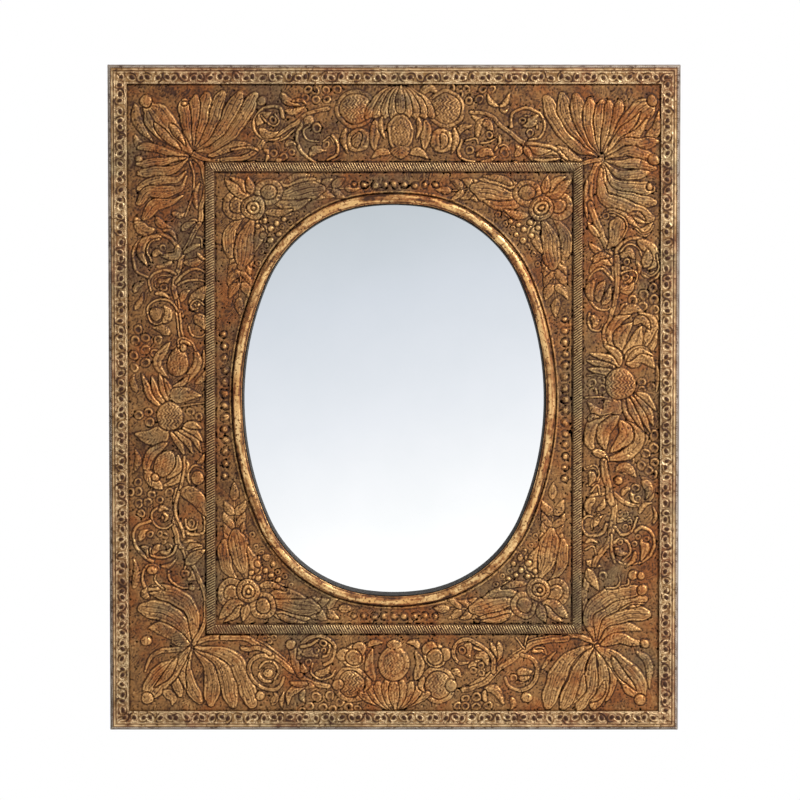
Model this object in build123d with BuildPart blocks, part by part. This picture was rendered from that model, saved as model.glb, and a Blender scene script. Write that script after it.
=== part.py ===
"""Wall mirror in a pressed-tin frame: pine carcass, embossed sheets, oval sight.

The front faces -Y, +Z is up and the origin is the centre of the back board's back face.
Lengths are millimetres.  "Depth" is the distance in front of the back face.
"""
from build123d import *
from math import acos, asin, atan2, cos, degrees, radians, sin
import os

# ---- outline and bands, as seen from the front -------------------------------------------
outer_width = 610.0
outer_height = 712.0
rim_width = 20.5            # punched rim, from the outside of the frame to its inner step
frieze_width = 83.0         # flat embossed border
rope_width = 10.5           # half-round corded strip over the seam between the two sheets

# ---- oval sight, drawn with three radii --------------------------------------------------
sight_width = 323.4
sight_height = 418.6
sight_drop = 1.6            # the oval sits this much below the middle of the frame
side_radius = 320.0
shoulder_radius = 135.0
crown_radius = 220.0
liner_width = 1.0           # dark lining of the hole's wall, inside the gilt moulding
moulding_width = 10.0
moulding_height = 6.0
moulding_bevel = 2.8        # rounds the moulding's section

# ---- depths ------------------------------------------------------------------------------
tin = 0.5
stock = 24.0                # planed pine under the frieze
lip_height = 3.3            # raised edge of the pine under the rim
shoulder = 6.0              # rounding of the pine's front outer edge
board_thickness = 15.0      # panel with the oval hole
glass_thickness = 3.0
card_thickness = 3.0
back_thickness = 3.0
liner_rise = 1.8            # liner in front of the panel sheet
rope_height = 3.6
rope_foot = 0.8
rim_hem = 1.5               # bare pine behind the rim's folded edge
ridge_height = 0.6
ridge_width = 1.5

# ---- seats and fasteners -----------------------------------------------------------------
board_seat = 12.0           # ledge that carries the oval panel and the back board
fit_gap = 1.0               # play of the back board in its rebate
glass_gap = 2.0             # play of the glass and card inside the carcass
edge_break = 0.6
brad_size = 1.8              # square section
brad_length = 6.5
brads_across = 4
brads_up = 5
nail_size = 3.2              # square shank of the forged corner nails
nail_head = 7.0
nail_head_depth = 1.2
nail_length = 20.0
nail_inset = 36.0           # nails of a corner joint, from both outsides of the carcass
nail_pitch = 46.0

# ---- hangers on the back -----------------------------------------------------------------
hanger_drop = 180.0         # ring hinge below the top of the frame
hanger_inset = 55.0         # hanger's centre line from the outside of the frame
strap_gauge = 1.2
strap_width = 15.0
strap_length = 36.0
strap_corner = 4.0          # cut corners at a strap's foot
loop_sides = 12             # facets of the fold round the ring's bar
wire_radius = 1.75
wire_sides = 8              # facets of the ring's wire
hinge_gap = 0.3            # play of the ring's bar in its loop
ring_half_width = 12.0      # centre line of the ring's wire
ring_side = 4.0             # straight side of the D
ring_corner = 2.6
rest_gap = 0.3              # hanging ring to strap
strap_screw_places = (9.0, 26.5)    # below the hinge
screw_sides = 8             # facets of the strap screws and of their holes
strap_screw_radius = 1.7
strap_screw_head = 3.4
strap_screw_dome = 1.6
strap_screw_length = 14.0

# ---- ornament ----------------------------------------------------------------------------
pattern_width = 83.0        # frieze width that the frieze motifs are drawn for
leaf_height = 2.6
leaf_crest = 0.3            # size of a leaf's crest as a share of its foot's
leaf_facets = 2             # corners along each edge of a palmette leaf
hub_clearance = 5.0         # foot of a palmette's leaves to its hub
dome = ((0.85, 0.6), (0.4, 1.0))    # size and height of a boss's shoulder and crown, as shares
stud = ((0.55, 1.0),)               # the same of a small boss, which has a crown only
pomegranate_height = 4.0
apple_height = 3.6
rosette_height = 3.4
petal_height = 2.0
fruit_lean = 20.0           # long axis of the side pomegranates, off upright
spray_pairs = 4
leaflet_length = 24.0
leaflet_share = 0.36        # breadth of a leaflet as a share of its length
leaflet_spread = 28.0
leaflet_shrink = 0.08
leaflet_height = 1.6
scroll_facets = 7
stem_width = 2.8
stem_height = 1.3
knob_radius = 5.0
knob_height = 3.0
bead_clearance = 4.8        # bead to the strip and the moulding beside it
bead_height = 2.4
bead_pitch_row = 10.9
bead_pitch_column = 11.7
beads_in_row = 9
beads_in_column = 14
trim_gap = 0.3              # ornament to the strips that lie on the sheets

# ---- derived sizes -----------------------------------------------------------------------
half_width = outer_width / 2
half_height = outer_height / 2
carcass_width = outer_width - 2 * tin
carcass_height = outer_height - 2 * tin
lip_width = rim_width - 2 * tin
seam = rim_width + frieze_width + rope_width / 2        # inset of the seam between the sheets
panel_width = outer_width - 2 * seam
panel_height = outer_height - 2 * seam
opening_width = panel_width - 2 * board_seat
opening_height = panel_height - 2 * board_seat
member_width = (carcass_width - opening_width) / 2
lap_depth = stock / 2
lip_depth = stock + lip_height
sheet_face = stock + tin
rim_face = lip_depth + tin
board_back = stock - board_thickness
glass_back = board_back - glass_thickness
hole_offset = liner_width                               # oval hole, outside the sight line
moulding_offset = liner_width + moulding_width
pattern = frieze_width / pattern_width
frieze_half_width = half_width - rim_width              # outer edge of the frieze
frieze_half_height = half_height - rim_width
rope_half_width = frieze_half_width - frieze_width      # inner edge of the frieze
rope_half_height = frieze_half_height - frieze_width
inner_half_width = rope_half_width - rope_width
inner_half_height = rope_half_height - rope_width
strap_thickness = 2 * strap_gauge
loop_radius = wire_radius + hinge_gap + strap_gauge
hinge_height = half_height - hanger_drop
ring_reach = ring_side + ring_half_width
hang_tilt = degrees(asin((strap_thickness + wire_radius + rest_gap - loop_radius) / ring_reach))

CORNERS = ((1, 1), (-1, 1), (-1, -1), (1, -1))
SIDES = {       # side name: direction along the side, outward direction, half length, half span
    "top": (Vector(1, 0, 0), Vector(0, 0, 1), half_width, half_height),
    "bottom": (Vector(-1, 0, 0), Vector(0, 0, -1), half_width, half_height),
    "left": (Vector(0, 0, 1), Vector(-1, 0, 0), half_height, half_width),
    "right": (Vector(0, 0, -1), Vector(1, 0, 0), half_height, half_width),
}

os.makedirs("parts", exist_ok=True)


def save(piece, name):
    """Label a finished piece and write it under its node name."""
    piece.part.label = name
    export_step(piece.part, f"parts/{name}.step")


def front_plane(depth):
    """Plane parallel to the front, seen from the front: local x is +X and local y is +Z."""
    return Plane(origin=(0, -depth, 0), x_dir=(1, 0, 0), z_dir=(0, -1, 0))


def oval(offset):
    """Three-radius oval, a given distance outside the sight line."""
    middle = Vector(0, -sight_drop)
    side_centre = Vector(sight_width / 2 - side_radius, 0)
    crown_centre = Vector(0, sight_height / 2 - crown_radius)
    to_side = side_radius - shoulder_radius
    to_crown = crown_radius - shoulder_radius
    span = (crown_centre - side_centre).length
    opening = acos((to_side**2 + span**2 - to_crown**2) / (2 * to_side * span))
    bearing = atan2(crown_centre.Y - side_centre.Y, crown_centre.X - side_centre.X)
    side_turn = bearing + opening
    shoulder_x = side_centre.X + to_side * cos(side_turn)
    shoulder_y = side_centre.Y + to_side * sin(side_turn)
    crown_turn = atan2(shoulder_y - crown_centre.Y, shoulder_x - crown_centre.X)
    first, second = degrees(side_turn), degrees(crown_turn)
    side_arc, shoulder_arc, crown_arc = 2 * first, second - first, 180 - 2 * second
    with BuildSketch() as outline:
        with BuildLine():
            for turn, sign in ((0, 1), (180, -1)):
                CenterArc(middle + side_centre * sign, side_radius + offset,
                          turn - first, side_arc)
                CenterArc(middle + Vector(shoulder_x, shoulder_y) * sign,
                          shoulder_radius + offset, turn + first, shoulder_arc)
                CenterArc(middle + crown_centre * sign, crown_radius + offset,
                          turn + second, crown_arc)
                CenterArc(middle + Vector(-shoulder_x, shoulder_y) * sign,
                          shoulder_radius + offset, turn + 180 - second, shoulder_arc)
        make_face()
    return outline.sketch


def section_plane(side):
    """Start of a side strip: local x is the distance from the centre, local y is depth."""
    along, outward, half_length, _ = SIDES[side]
    return Plane(origin=-along * half_length, x_dir=outward, z_dir=along)


def mitre_planes(side):
    """The two 45 degree planes through the frame's outer corners that end a side strip."""
    along, outward, half_length, half_span = SIDES[side]
    corner = outward * half_span
    return (Plane(origin=corner + along * half_length, z_dir=along - outward),
            Plane(origin=corner - along * half_length, z_dir=-along - outward))


# ---- pine carcass: one profiled ring, shared out as half-lapped stiles and rails -----------
brad_line_x = (opening_width + board_seat - fit_gap) / 2
brad_line_z = (opening_height + board_seat - fit_gap) / 2
brad_step_x = 2 * brad_line_x / brads_across
brad_step_z = 2 * brad_line_z / brads_up
brad_spots = [(brad_step_x * (i - (brads_across - 1) / 2), sign * brad_line_z)
              for i in range(brads_across) for sign in (1, -1)]
brad_spots += [(sign * brad_line_x, brad_step_z * (i - (brads_up - 1) / 2))
               for i in range(brads_up) for sign in (1, -1)]
corner_spots = [(sx * (carcass_width / 2 - nail_inset - a * nail_pitch),
                 sz * (carcass_height / 2 - nail_inset - b * nail_pitch))
                for sx, sz in CORNERS for a, b in ((0, 1), (1, 0))]
hanger_places = {"left": hanger_inset - half_width, "right": half_width - hanger_inset}
strap_spots = [(x, hinge_height - drop) for x in hanger_places.values()
               for drop in strap_screw_places]

with BuildPart() as carcass:
    with BuildSketch(front_plane(0)):
        Rectangle(carcass_width, carcass_height)
        Rectangle(opening_width, opening_height, mode=Mode.SUBTRACT)
    extrude(amount=lip_depth)
    front_edges = carcass.faces().sort_by(Axis.Y)[0].outer_wire().edges()
    fillet(front_edges, radius=shoulder)
    with BuildSketch(front_plane(stock)):
        Rectangle(carcass_width - 2 * lip_width, carcass_height - 2 * lip_width)
    extrude(amount=lip_height, mode=Mode.SUBTRACT)
    with BuildSketch(front_plane(board_back)):
        Rectangle(panel_width, panel_height)
    extrude(amount=board_thickness, mode=Mode.SUBTRACT)
    with BuildSketch(front_plane(0)):
        Rectangle(opening_width + 2 * board_seat, opening_height + 2 * board_seat)
    extrude(amount=back_thickness, mode=Mode.SUBTRACT)
    with BuildSketch(front_plane(0)):
        with Locations(*brad_spots):
            Rectangle(brad_size, brad_size)
    extrude(amount=brad_length, mode=Mode.SUBTRACT)
    with BuildSketch(front_plane(0)):
        with Locations(*corner_spots):
            Rectangle(nail_size, nail_size)
    extrude(amount=nail_length, mode=Mode.SUBTRACT)
    with BuildSketch(front_plane(0)):
        with Locations(*corner_spots):
            Rectangle(nail_head, nail_head)
    extrude(amount=nail_head_depth, mode=Mode.SUBTRACT)
    with BuildSketch(front_plane(0)):
        with Locations(*strap_spots):
            RegularPolygon(strap_screw_radius, screw_sides)
    extrude(amount=strap_screw_length - strap_thickness, mode=Mode.SUBTRACT)

for side, sign in (("left", -1), ("right", 1)):
    with BuildPart() as stile:
        add(carcass.part)
        with BuildSketch(front_plane(0)):
            with Locations((sign * (carcass_width - member_width) / 2, 0)):
                Rectangle(member_width, carcass_height)
        extrude(amount=lip_depth, mode=Mode.INTERSECT)
        with BuildSketch(front_plane(lap_depth)):
            with Locations(*[(sign * (carcass_width - member_width) / 2,
                              end * (carcass_height - member_width) / 2) for end in (1, -1)]):
                Rectangle(member_width, member_width)
        extrude(amount=lip_depth - lap_depth, mode=Mode.SUBTRACT)
    save(stile, f"stile_{side}")

for side, sign in (("bottom", -1), ("top", 1)):
    with BuildPart() as rail:
        add(carcass.part)
        with BuildSketch(front_plane(0)):
            with Locations((0, sign * (carcass_height - member_width) / 2)):
                Rectangle(carcass_width, member_width)
        extrude(amount=lip_depth, mode=Mode.INTERSECT)
        with BuildSketch(front_plane(0)):
            with Locations(*[(end * (carcass_width - member_width) / 2,
                              sign * (carcass_height - member_width) / 2) for end in (1, -1)]):
                Rectangle(member_width, member_width)
        extrude(amount=lap_depth, mode=Mode.SUBTRACT)
    save(rail, f"rail_{side}")

# Forged nails through the stile's half of each corner into the rail's half.
with BuildPart() as corner_nails:
    with BuildSketch(front_plane(0)):
        with Locations(*corner_spots):
            Rectangle(nail_size, nail_size)
    extrude(amount=nail_length)
    with BuildSketch(front_plane(0)):
        with Locations(*corner_spots):
            Rectangle(nail_head, nail_head)
    extrude(amount=nail_head_depth)
save(corner_nails, "corner_nails")

# ---- oval panel, glass, card and back board ------------------------------------------------
with BuildPart() as oval_panel:
    with BuildSketch(front_plane(board_back)):
        Rectangle(panel_width, panel_height)
    extrude(amount=board_thickness)
    with BuildSketch(front_plane(board_back)):
        add(oval(hole_offset))
    extrude(amount=board_thickness, mode=Mode.SUBTRACT)
save(oval_panel, "oval_panel")

with BuildPart() as mirror_glass:
    with BuildSketch(front_plane(glass_back)):
        Rectangle(opening_width - 2 * glass_gap, opening_height - 2 * glass_gap)
    extrude(amount=glass_thickness)
    chamfer(mirror_glass.edges().filter_by(Axis.Y), length=edge_break)
save(mirror_glass, "mirror_glass")

with BuildPart() as backing_card:
    with BuildSketch(front_plane(back_thickness)):
        Rectangle(opening_width - 2 * glass_gap, opening_height - 2 * glass_gap)
    extrude(amount=card_thickness)
save(backing_card, "backing_card")

with BuildPart() as back_board:
    with BuildSketch(front_plane(0)):
        Rectangle(opening_width + 2 * (board_seat - fit_gap),
                  opening_height + 2 * (board_seat - fit_gap))
        with Locations(*brad_spots):
            Rectangle(brad_size, brad_size, mode=Mode.SUBTRACT)
    extrude(amount=back_thickness)
save(back_board, "back_board")

with BuildPart() as back_brads:
    with BuildSketch(front_plane(0)):
        with Locations(*brad_spots):
            Rectangle(brad_size, brad_size)
    extrude(amount=brad_length)
save(back_brads, "back_brads")

# ---- dark liner and gilt moulding around the sight -----------------------------------------
with BuildPart() as sight_liner:
    with BuildSketch(front_plane(board_back)):
        add(oval(hole_offset))
    extrude(amount=sheet_face + liner_rise - board_back)
    with BuildSketch(front_plane(board_back)):
        add(oval(0))
    extrude(amount=sheet_face + liner_rise - board_back, mode=Mode.SUBTRACT)
save(sight_liner, "sight_liner")

with BuildPart() as oval_moulding:
    with BuildSketch(front_plane(sheet_face)):
        add(oval(moulding_offset))
    extrude(amount=moulding_height)
    with BuildSketch(front_plane(sheet_face)):
        add(oval(hole_offset))
    extrude(amount=moulding_height, mode=Mode.SUBTRACT)
    crown = oval_moulding.faces().sort_by(Axis.Y)[0]
    chamfer(crown.edges(), length=moulding_bevel)
save(oval_moulding, "oval_moulding")

# ---- mitred strips: corded strip over the seam, punched rim over the edge --------------------
for side in SIDES:
    centre_line = SIDES[side][3] - seam
    with BuildPart() as rope:
        with BuildSketch(section_plane(side)):
            with BuildLine():
                Polyline((centre_line - rope_width / 2, sheet_face + rope_foot),
                         (centre_line - rope_width / 2, sheet_face),
                         (centre_line + rope_width / 2, sheet_face),
                         (centre_line + rope_width / 2, sheet_face + rope_foot))
                ThreePointArc((centre_line + rope_width / 2, sheet_face + rope_foot),
                              (centre_line, sheet_face + rope_height),
                              (centre_line - rope_width / 2, sheet_face + rope_foot))
            make_face()
        extrude(amount=2 * SIDES[side][2])
        for mitre in mitre_planes(side):
            split(bisect_by=mitre, keep=Keep.BOTTOM)
    save(rope, f"rope_{side}")

bend = shoulder + tin
for side in SIDES:
    edge = SIDES[side][3]
    inner_bend = Vector(edge - bend, rim_face - bend)
    diagonal = Vector(cos(radians(45)), sin(radians(45)))
    ridge_foot = ridge_height / 2
    with BuildPart() as rim:
        with BuildSketch(section_plane(side)):
            with BuildLine():
                Polyline((edge - tin, rim_face - bend), (edge - tin, rim_hem),
                         (edge, rim_hem), (edge, rim_face - bend))
                ThreePointArc((edge, rim_face - bend), inner_bend + diagonal * bend,
                              (edge - bend, rim_face))
                Polyline((edge - bend, rim_face),
                         (edge - bend - ridge_foot, rim_face + ridge_height),
                         (edge - bend - ridge_width + ridge_foot, rim_face + ridge_height),
                         (edge - bend - ridge_width, rim_face),
                         (edge - rim_width + tin + ridge_width, rim_face),
                         (edge - rim_width + tin + ridge_width - ridge_foot,
                          rim_face + ridge_height),
                         (edge - rim_width + tin, rim_face + ridge_height),
                         (edge - rim_width, rim_face),
                         (edge - rim_width, sheet_face),
                         (edge - rim_width + tin, sheet_face),
                         (edge - rim_width + tin, lip_depth),
                         (edge - bend, lip_depth))
                ThreePointArc((edge - bend, lip_depth), inner_bend + diagonal * shoulder,
                              (edge - tin, rim_face - bend))
            make_face()
        extrude(amount=2 * SIDES[side][2])
        for mitre in mitre_planes(side):
            split(bisect_by=mitre, keep=Keep.BOTTOM)
    save(rim, f"rim_{side}")

# ---- ornament: faceted leaves, bosses and stems that stand on the sheets ----------------------
def relief(outline, middle, *steps):
    """Mound of flat facets: its outline on the pine, then shrunk copies above the sheet."""
    rings = []
    for share, depth in ((1, stock), *[(share, sheet_face + rise) for share, rise in steps]):
        points = [middle + (point - middle) * share for point in outline]
        rings.append([Vector(point.X, -depth, point.Y) for point in points])
    walls = [(low[i - 1], low[i], high[i], high[i - 1])
             for low, high in zip(rings, rings[1:]) for i in range(len(outline))]
    return Solid(Shell([Face(Wire.make_polygon(loop)) for loop in (rings[0], *walls, rings[-1])]))


def placed(points, origin, corner=(1, 1)):
    """Points drawn outward from an origin in the upper right corner, moved to any corner."""
    return [Vector(corner[0] * (origin[0] + pattern * point.X),
                   corner[1] * (origin[1] + pattern * point.Y)) for point in points]


def leaf(origin, corner, foot, tip, bow, breadth, height, facets=1):
    """Leaf from foot to tip, bowed to the left of that line, with a crest along its middle."""
    foot, tip = Vector(*foot), Vector(*tip)
    line = tip - foot
    normal = Vector(-line.Y, line.X).normalized()
    shares = [i / (facets + 1) for i in range(1, facets + 1)]

    def edge(share, side):
        return foot + line * share + normal * 4 * share * (1 - share) * (bow + side * breadth / 2)

    outline = [foot] + [edge(t, 1) for t in shares] + [tip] + [edge(t, -1) for t in shares[::-1]]
    middle = foot + line / 2 + normal * bow
    points = placed(outline + [middle], origin, corner)
    return relief(points[:-1], points[-1], (leaf_crest, height))


def boss(origin, corner, place, radii, height, turn=0, sides=8, profile=dome):
    """Faceted oval boss."""
    angles = [radians(360 * (i + 0.5) / sides) for i in range(sides)]
    around = [Vector(radii[0] * cos(a), radii[1] * sin(a)).rotate(Axis.Z, turn) for a in angles]
    middle = Vector(*place)
    points = placed([middle + point for point in around] + [middle], origin, corner)
    return relief(points[:-1], points[-1], *[(share, rise * height) for share, rise in profile])


def stem(points, origin, corner):
    """Outline of a band of even width along a line of points."""
    left, right = [], []
    points = [Vector(*point) for point in points]
    for before, point, after in zip(points[:1] + points, points, points[1:] + points[-1:]):
        run = (after - before).normalized() * stem_width / 2
        left.append(point + Vector(-run.Y, run.X))
        right.append(point - Vector(-run.Y, run.X))
    return placed(left + right[::-1], origin, corner)


def scroll(centre, radius, first, turn):
    """Points of a round scroll, from its first angle through its turn."""
    angles = [radians(first + turn * i / scroll_facets) for i in range(scroll_facets + 1)]
    return [(centre[0] + radius * cos(a), centre[1] + radius * sin(a)) for a in angles]


# Corner palmette, outward from its hub: tip, bow and breadth of each leaf, then its knobs.
hub = (rope_half_width + 14.5 * pattern, rope_half_height + 11.0 * pattern)
palmette = (((-65, 62), 11, 17), ((-47, 66), 8, 17), ((-28, 66), 5, 16), ((-10, 64), 2, 16),
            ((8, 57), -2, 15), ((47, 54), -8, 24), ((49, -15), -5, 12), ((54, 0), 3, 7),
            ((46, -58), -11, 23))
palmette_knobs = ((-72, 55), (50, 58), (49, -61), (44, -76))
# Vine along both sides of each corner: the stems, then the scrolls that leave them.
stems = (((-4, 0), (-48, -7), (-82, 7), (-110, 30), (-139, 48)),
         ((0, -4), (-10, -34), (-9, -64), (3, -92), (14, -120), (18, -145), (15, -167),
          (9, -195)))
scrolls = (((-80, 31), 14, -60, 300), ((-132, 9), 16, 60, 290), ((43, -105), 18, 200, 300),
           ((48, -164), 12, 200, 290))

ornament = []
for corner in CORNERS:
    for tip, bow, breadth in palmette:
        foot = Vector(*tip).normalized() * hub_clearance
        ornament.append(leaf(hub, corner, foot, tip, bow, breadth, leaf_height, leaf_facets))
    for place in palmette_knobs:
        ornament.append(boss(hub, corner, place, (knob_radius, knob_radius), knob_height,
                             profile=stud))

with BuildPart() as vine:
    with BuildSketch(front_plane(stock)):
        for corner in CORNERS:
            for points in stems + tuple(scroll(*item) for item in scrolls):
                with BuildLine():
                    Polyline(*stem(points, hub, corner), close=True)
                make_face()
    extrude(amount=tin + stem_height)
ornament.append(vine.part)

# Cartouche in the middle of the top and bottom, outward from its pomegranate's centre.
cartouche = (0, rope_half_height + 33.5 * pattern)
cartouche_bosses = (((0, 0), (12, 17), pomegranate_height), ((48, 22), (13.5, 13.5), apple_height),
                    ((-48, 22), (13.5, 13.5), apple_height), ((42, -10), (8.5, 8.5), knob_height),
                    ((-42, -10), (8.5, 8.5), knob_height))
fan_foot = (0, 46)
fan = (((-33, 10), -4, 9), ((-20, 6), -2, 8), ((20, 6), 2, 8), ((33, 10), 4, 9),
       ((0, 24), 0, 9))
for end in (1, -1):
    for place, radii, height in cartouche_bosses:
        ornament.append(boss(cartouche, (1, end), place, radii, height, sides=10))
    for tip, bow, breadth in fan:
        ornament.append(leaf(cartouche, (1, end), fan_foot, tip, bow, breadth, leaf_height))

# Fruit group half way up each side: a seed ball between two pomegranates, with leaves.
side_fruit = {-1: ((3, -19), (12, 40), (-2, -78)), 1: ((-1, 15), (5, 67), (-10, -37))}
side_leaves = (((26, 17), 3, 12), ((-26, 19), -3, 12), ((24, -22), -3, 12), ((-22, -24), 3, 12))
for sign, (ball, upper, lower) in side_fruit.items():
    group = (sign * (rope_half_width + frieze_width / 2), 0)
    ornament.append(boss(group, (1, 1), ball, (13.5, 13.5), pomegranate_height, sides=10))
    for place, turn in ((upper, -fruit_lean * sign), (lower, fruit_lean * sign)):
        ornament.append(boss(group, (1, 1), place, (10.5, 15), apple_height, turn))
    for reach, bow, breadth in side_leaves:
        tip = Vector(*ball) + Vector(*reach)
        ornament.append(leaf(group, (1, 1), ball, tip, bow, breadth, leaf_height))

with BuildPart() as frieze_sheet:
    with BuildSketch(front_plane(stock)):
        Rectangle(2 * frieze_half_width + 2 * tin, 2 * frieze_half_height + 2 * tin)
        Rectangle(panel_width, panel_height, mode=Mode.SUBTRACT)
    extrude(amount=tin)
    add(ornament)
    with BuildSketch(front_plane(sheet_face)):
        Rectangle(2 * (rope_half_width + trim_gap), 2 * (rope_half_height + trim_gap))
    extrude(amount=rim_face, mode=Mode.SUBTRACT)
    with BuildSketch(front_plane(sheet_face)):
        Rectangle(outer_width, outer_height)
        Rectangle(2 * (frieze_half_width - trim_gap), 2 * (frieze_half_height - trim_gap),
                  mode=Mode.SUBTRACT)
    extrude(amount=rim_face, mode=Mode.SUBTRACT)
save(frieze_sheet, "frieze_sheet")

# Panel sheet: a rosette with two petals and two sprays in each corner, beads between.
rosette = (inner_half_width - 36.0 * pattern, inner_half_height - 37.0 * pattern)
rosette_bosses = (((0, 0), (11, 11), rosette_height), ((-17, 12), (8.5, 8.5), petal_height),
                  ((20, 2), (8.5, 8.5), petal_height))
corner_leaves = (((23, 29), 2, 8), ((8, 28), -2, 8), ((-15, -27), 3, 12), ((-27, -14), -3, 11))
sprays = (((10, -12), (14, -105)), ((-20, 17), (-98, 19)))      # foot and tip of each spray

panel_relief = []
for corner in CORNERS:
    for place, radii, height in rosette_bosses:
        panel_relief.append(boss(rosette, corner, place, radii, height))
    for tip, bow, breadth in corner_leaves:
        panel_relief.append(leaf(rosette, corner, (0, 0), tip, bow, breadth, petal_height))
    for foot, tip in sprays:
        line = Vector(*tip) - Vector(*foot)
        for i in range(spray_pairs):
            root = Vector(*foot) + line * (i / spray_pairs)
            length = leaflet_length * (1 - leaflet_shrink * i)
            for sign in (1, -1):
                leaflet = line.normalized().rotate(Axis.Z, sign * leaflet_spread) * length
                panel_relief.append(leaf(rosette, corner, root, root + leaflet, 0,
                                         length * leaflet_share, leaflet_height))

bead_radius = (inner_half_width - sight_width / 2 - moulding_offset) / 2 - bead_clearance
bead_x = (inner_half_width + sight_width / 2 + moulding_offset) / 2
bead_z = (inner_half_height + sight_height / 2 + moulding_offset) / 2
bead_spots = [((i - (beads_in_row - 1) / 2) * bead_pitch_row, sign * bead_z - sight_drop / 2)
              for i in range(beads_in_row) for sign in (1, -1)]
bead_spots += [(sign * bead_x, (i - (beads_in_column - 1) / 2) * bead_pitch_column)
               for i in range(beads_in_column) for sign in (1, -1)]
for spot in bead_spots:
    panel_relief.append(boss(spot, (1, 1), (0, 0), (bead_radius, bead_radius), bead_height,
                             sides=6, profile=stud))

with BuildPart() as panel_sheet:
    with BuildSketch(front_plane(stock)):
        Rectangle(panel_width, panel_height)
    extrude(amount=tin)
    add(panel_relief)
    with BuildSketch(front_plane(stock)):
        add(oval(hole_offset))
    extrude(amount=rim_face, mode=Mode.SUBTRACT)
    with BuildSketch(front_plane(sheet_face)):
        add(oval(moulding_offset + trim_gap))
    extrude(amount=rim_face, mode=Mode.SUBTRACT)
    with BuildSketch(front_plane(sheet_face)):
        Rectangle(outer_width, outer_height)
        Rectangle(2 * (inner_half_width - trim_gap), 2 * (inner_half_height - trim_gap),
                  mode=Mode.SUBTRACT)
    extrude(amount=rim_face, mode=Mode.SUBTRACT)
save(panel_sheet, "panel_sheet")

# ---- hangers: folded steel straps screwed to the stiles, each holding a D-shaped ring ----------
with BuildPart() as hanger_screws:
    with BuildSketch(front_plane(-strap_thickness)):
        with Locations(*strap_spots):
            RegularPolygon(strap_screw_radius, screw_sides)
    extrude(amount=strap_screw_length)
    with BuildSketch(front_plane(-strap_thickness)):
        with Locations(*strap_spots):
            RegularPolygon(strap_screw_head, screw_sides)
    extrude(amount=-strap_screw_dome)
    chamfer(hanger_screws.faces().group_by(Axis.Y)[-1].edges(), length=strap_screw_dome / 2)
save(hanger_screws, "hanger_screws")

for side, x in hanger_places.items():
    back_plane = Plane(origin=(x, 0, hinge_height), x_dir=(1, 0, 0), z_dir=(0, 1, 0))
    loop_plane = Plane(origin=(x - strap_width / 2, loop_radius, hinge_height),
                       x_dir=(0, 1, 0), z_dir=(1, 0, 0))
    with BuildPart() as strap:
        with BuildSketch(back_plane):
            with Locations((0, strap_length / 2)):
                Rectangle(strap_width, strap_length)
        extrude(amount=strap_thickness)
        foot = strap.edges().filter_by(Axis.Y).group_by(Axis.Z)[0]
        chamfer(foot, length=strap_corner)
        with BuildSketch(loop_plane):
            RegularPolygon(loop_radius, loop_sides, major_radius=False, rotation=180 / loop_sides)
        extrude(amount=strap_width)
        with BuildSketch(loop_plane):
            RegularPolygon(wire_radius + hinge_gap, loop_sides, major_radius=False)
        extrude(amount=strap_width, mode=Mode.SUBTRACT)
        with BuildSketch(back_plane):
            with Locations(*[(0, drop) for drop in strap_screw_places]):
                RegularPolygon(strap_screw_radius, screw_sides)
        extrude(amount=strap_thickness, mode=Mode.SUBTRACT)
    save(strap, f"hanger_plate_{side}")

    drop = Vector(0, sin(radians(hang_tilt)), -cos(radians(hang_tilt)))
    ring_plane = Plane(origin=(x, loop_radius, hinge_height), x_dir=(1, 0, 0),
                       z_dir=drop.cross(Vector(1, 0, 0)) * -1)
    half_ring = [(0, 0), (ring_half_width - ring_corner, 0), (ring_half_width, ring_corner)]
    half_ring += scroll((0, ring_side), ring_half_width, 0, 90)
    with BuildPart() as ring:
        with BuildLine(ring_plane) as wire:
            Polyline(*half_ring, *[(-u, v) for u, v in half_ring[-2:0:-1]], close=True)
        with BuildSketch(Plane(origin=(x, loop_radius, hinge_height), z_dir=(1, 0, 0))):
            RegularPolygon(wire_radius, wire_sides)
        sweep(path=wire.line, transition=Transition.RIGHT)
    save(ring, f"hanger_ring_{side}")
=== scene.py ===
from math import acos, asin, atan2, cos, pi, radians, sin

import bmesh
import bpy
import numpy as np
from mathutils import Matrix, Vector


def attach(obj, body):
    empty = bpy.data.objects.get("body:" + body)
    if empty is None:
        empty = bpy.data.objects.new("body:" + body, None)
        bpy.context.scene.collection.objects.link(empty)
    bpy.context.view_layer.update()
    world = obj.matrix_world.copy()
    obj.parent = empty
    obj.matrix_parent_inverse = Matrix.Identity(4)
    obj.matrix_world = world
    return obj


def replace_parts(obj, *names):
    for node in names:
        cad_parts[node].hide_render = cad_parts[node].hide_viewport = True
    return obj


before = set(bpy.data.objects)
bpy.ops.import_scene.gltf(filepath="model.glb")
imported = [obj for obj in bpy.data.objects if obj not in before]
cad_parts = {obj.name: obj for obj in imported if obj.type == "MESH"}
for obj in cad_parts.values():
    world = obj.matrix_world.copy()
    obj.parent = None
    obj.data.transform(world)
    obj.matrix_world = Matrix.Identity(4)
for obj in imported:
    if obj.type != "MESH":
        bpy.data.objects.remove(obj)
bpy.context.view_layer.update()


# ---- pine carcass ------------------------------------------------------------------------------
# Four half-lapped lengths of planed pine, nailed at the corners and left bare at the back, where
# the wood has darkened with age.
def feed(tree, node, inputs):
    """Links or sets some of a node's inputs."""
    for name, value in inputs.items():
        if isinstance(value, bpy.types.NodeSocket):
            tree.links.new(value, node.inputs[name])
        else:
            node.inputs[name].default_value = value


def add_node(tree, kind, inputs=(), **settings):
    """A shader node with its settings, and with inputs that are linked or set."""
    node = tree.nodes.new(kind if kind.startswith("NodeGroup") else "ShaderNode" + kind)
    for name, value in settings.items():
        setattr(node, name, value)
    feed(tree, node, dict(inputs))
    return node


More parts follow.
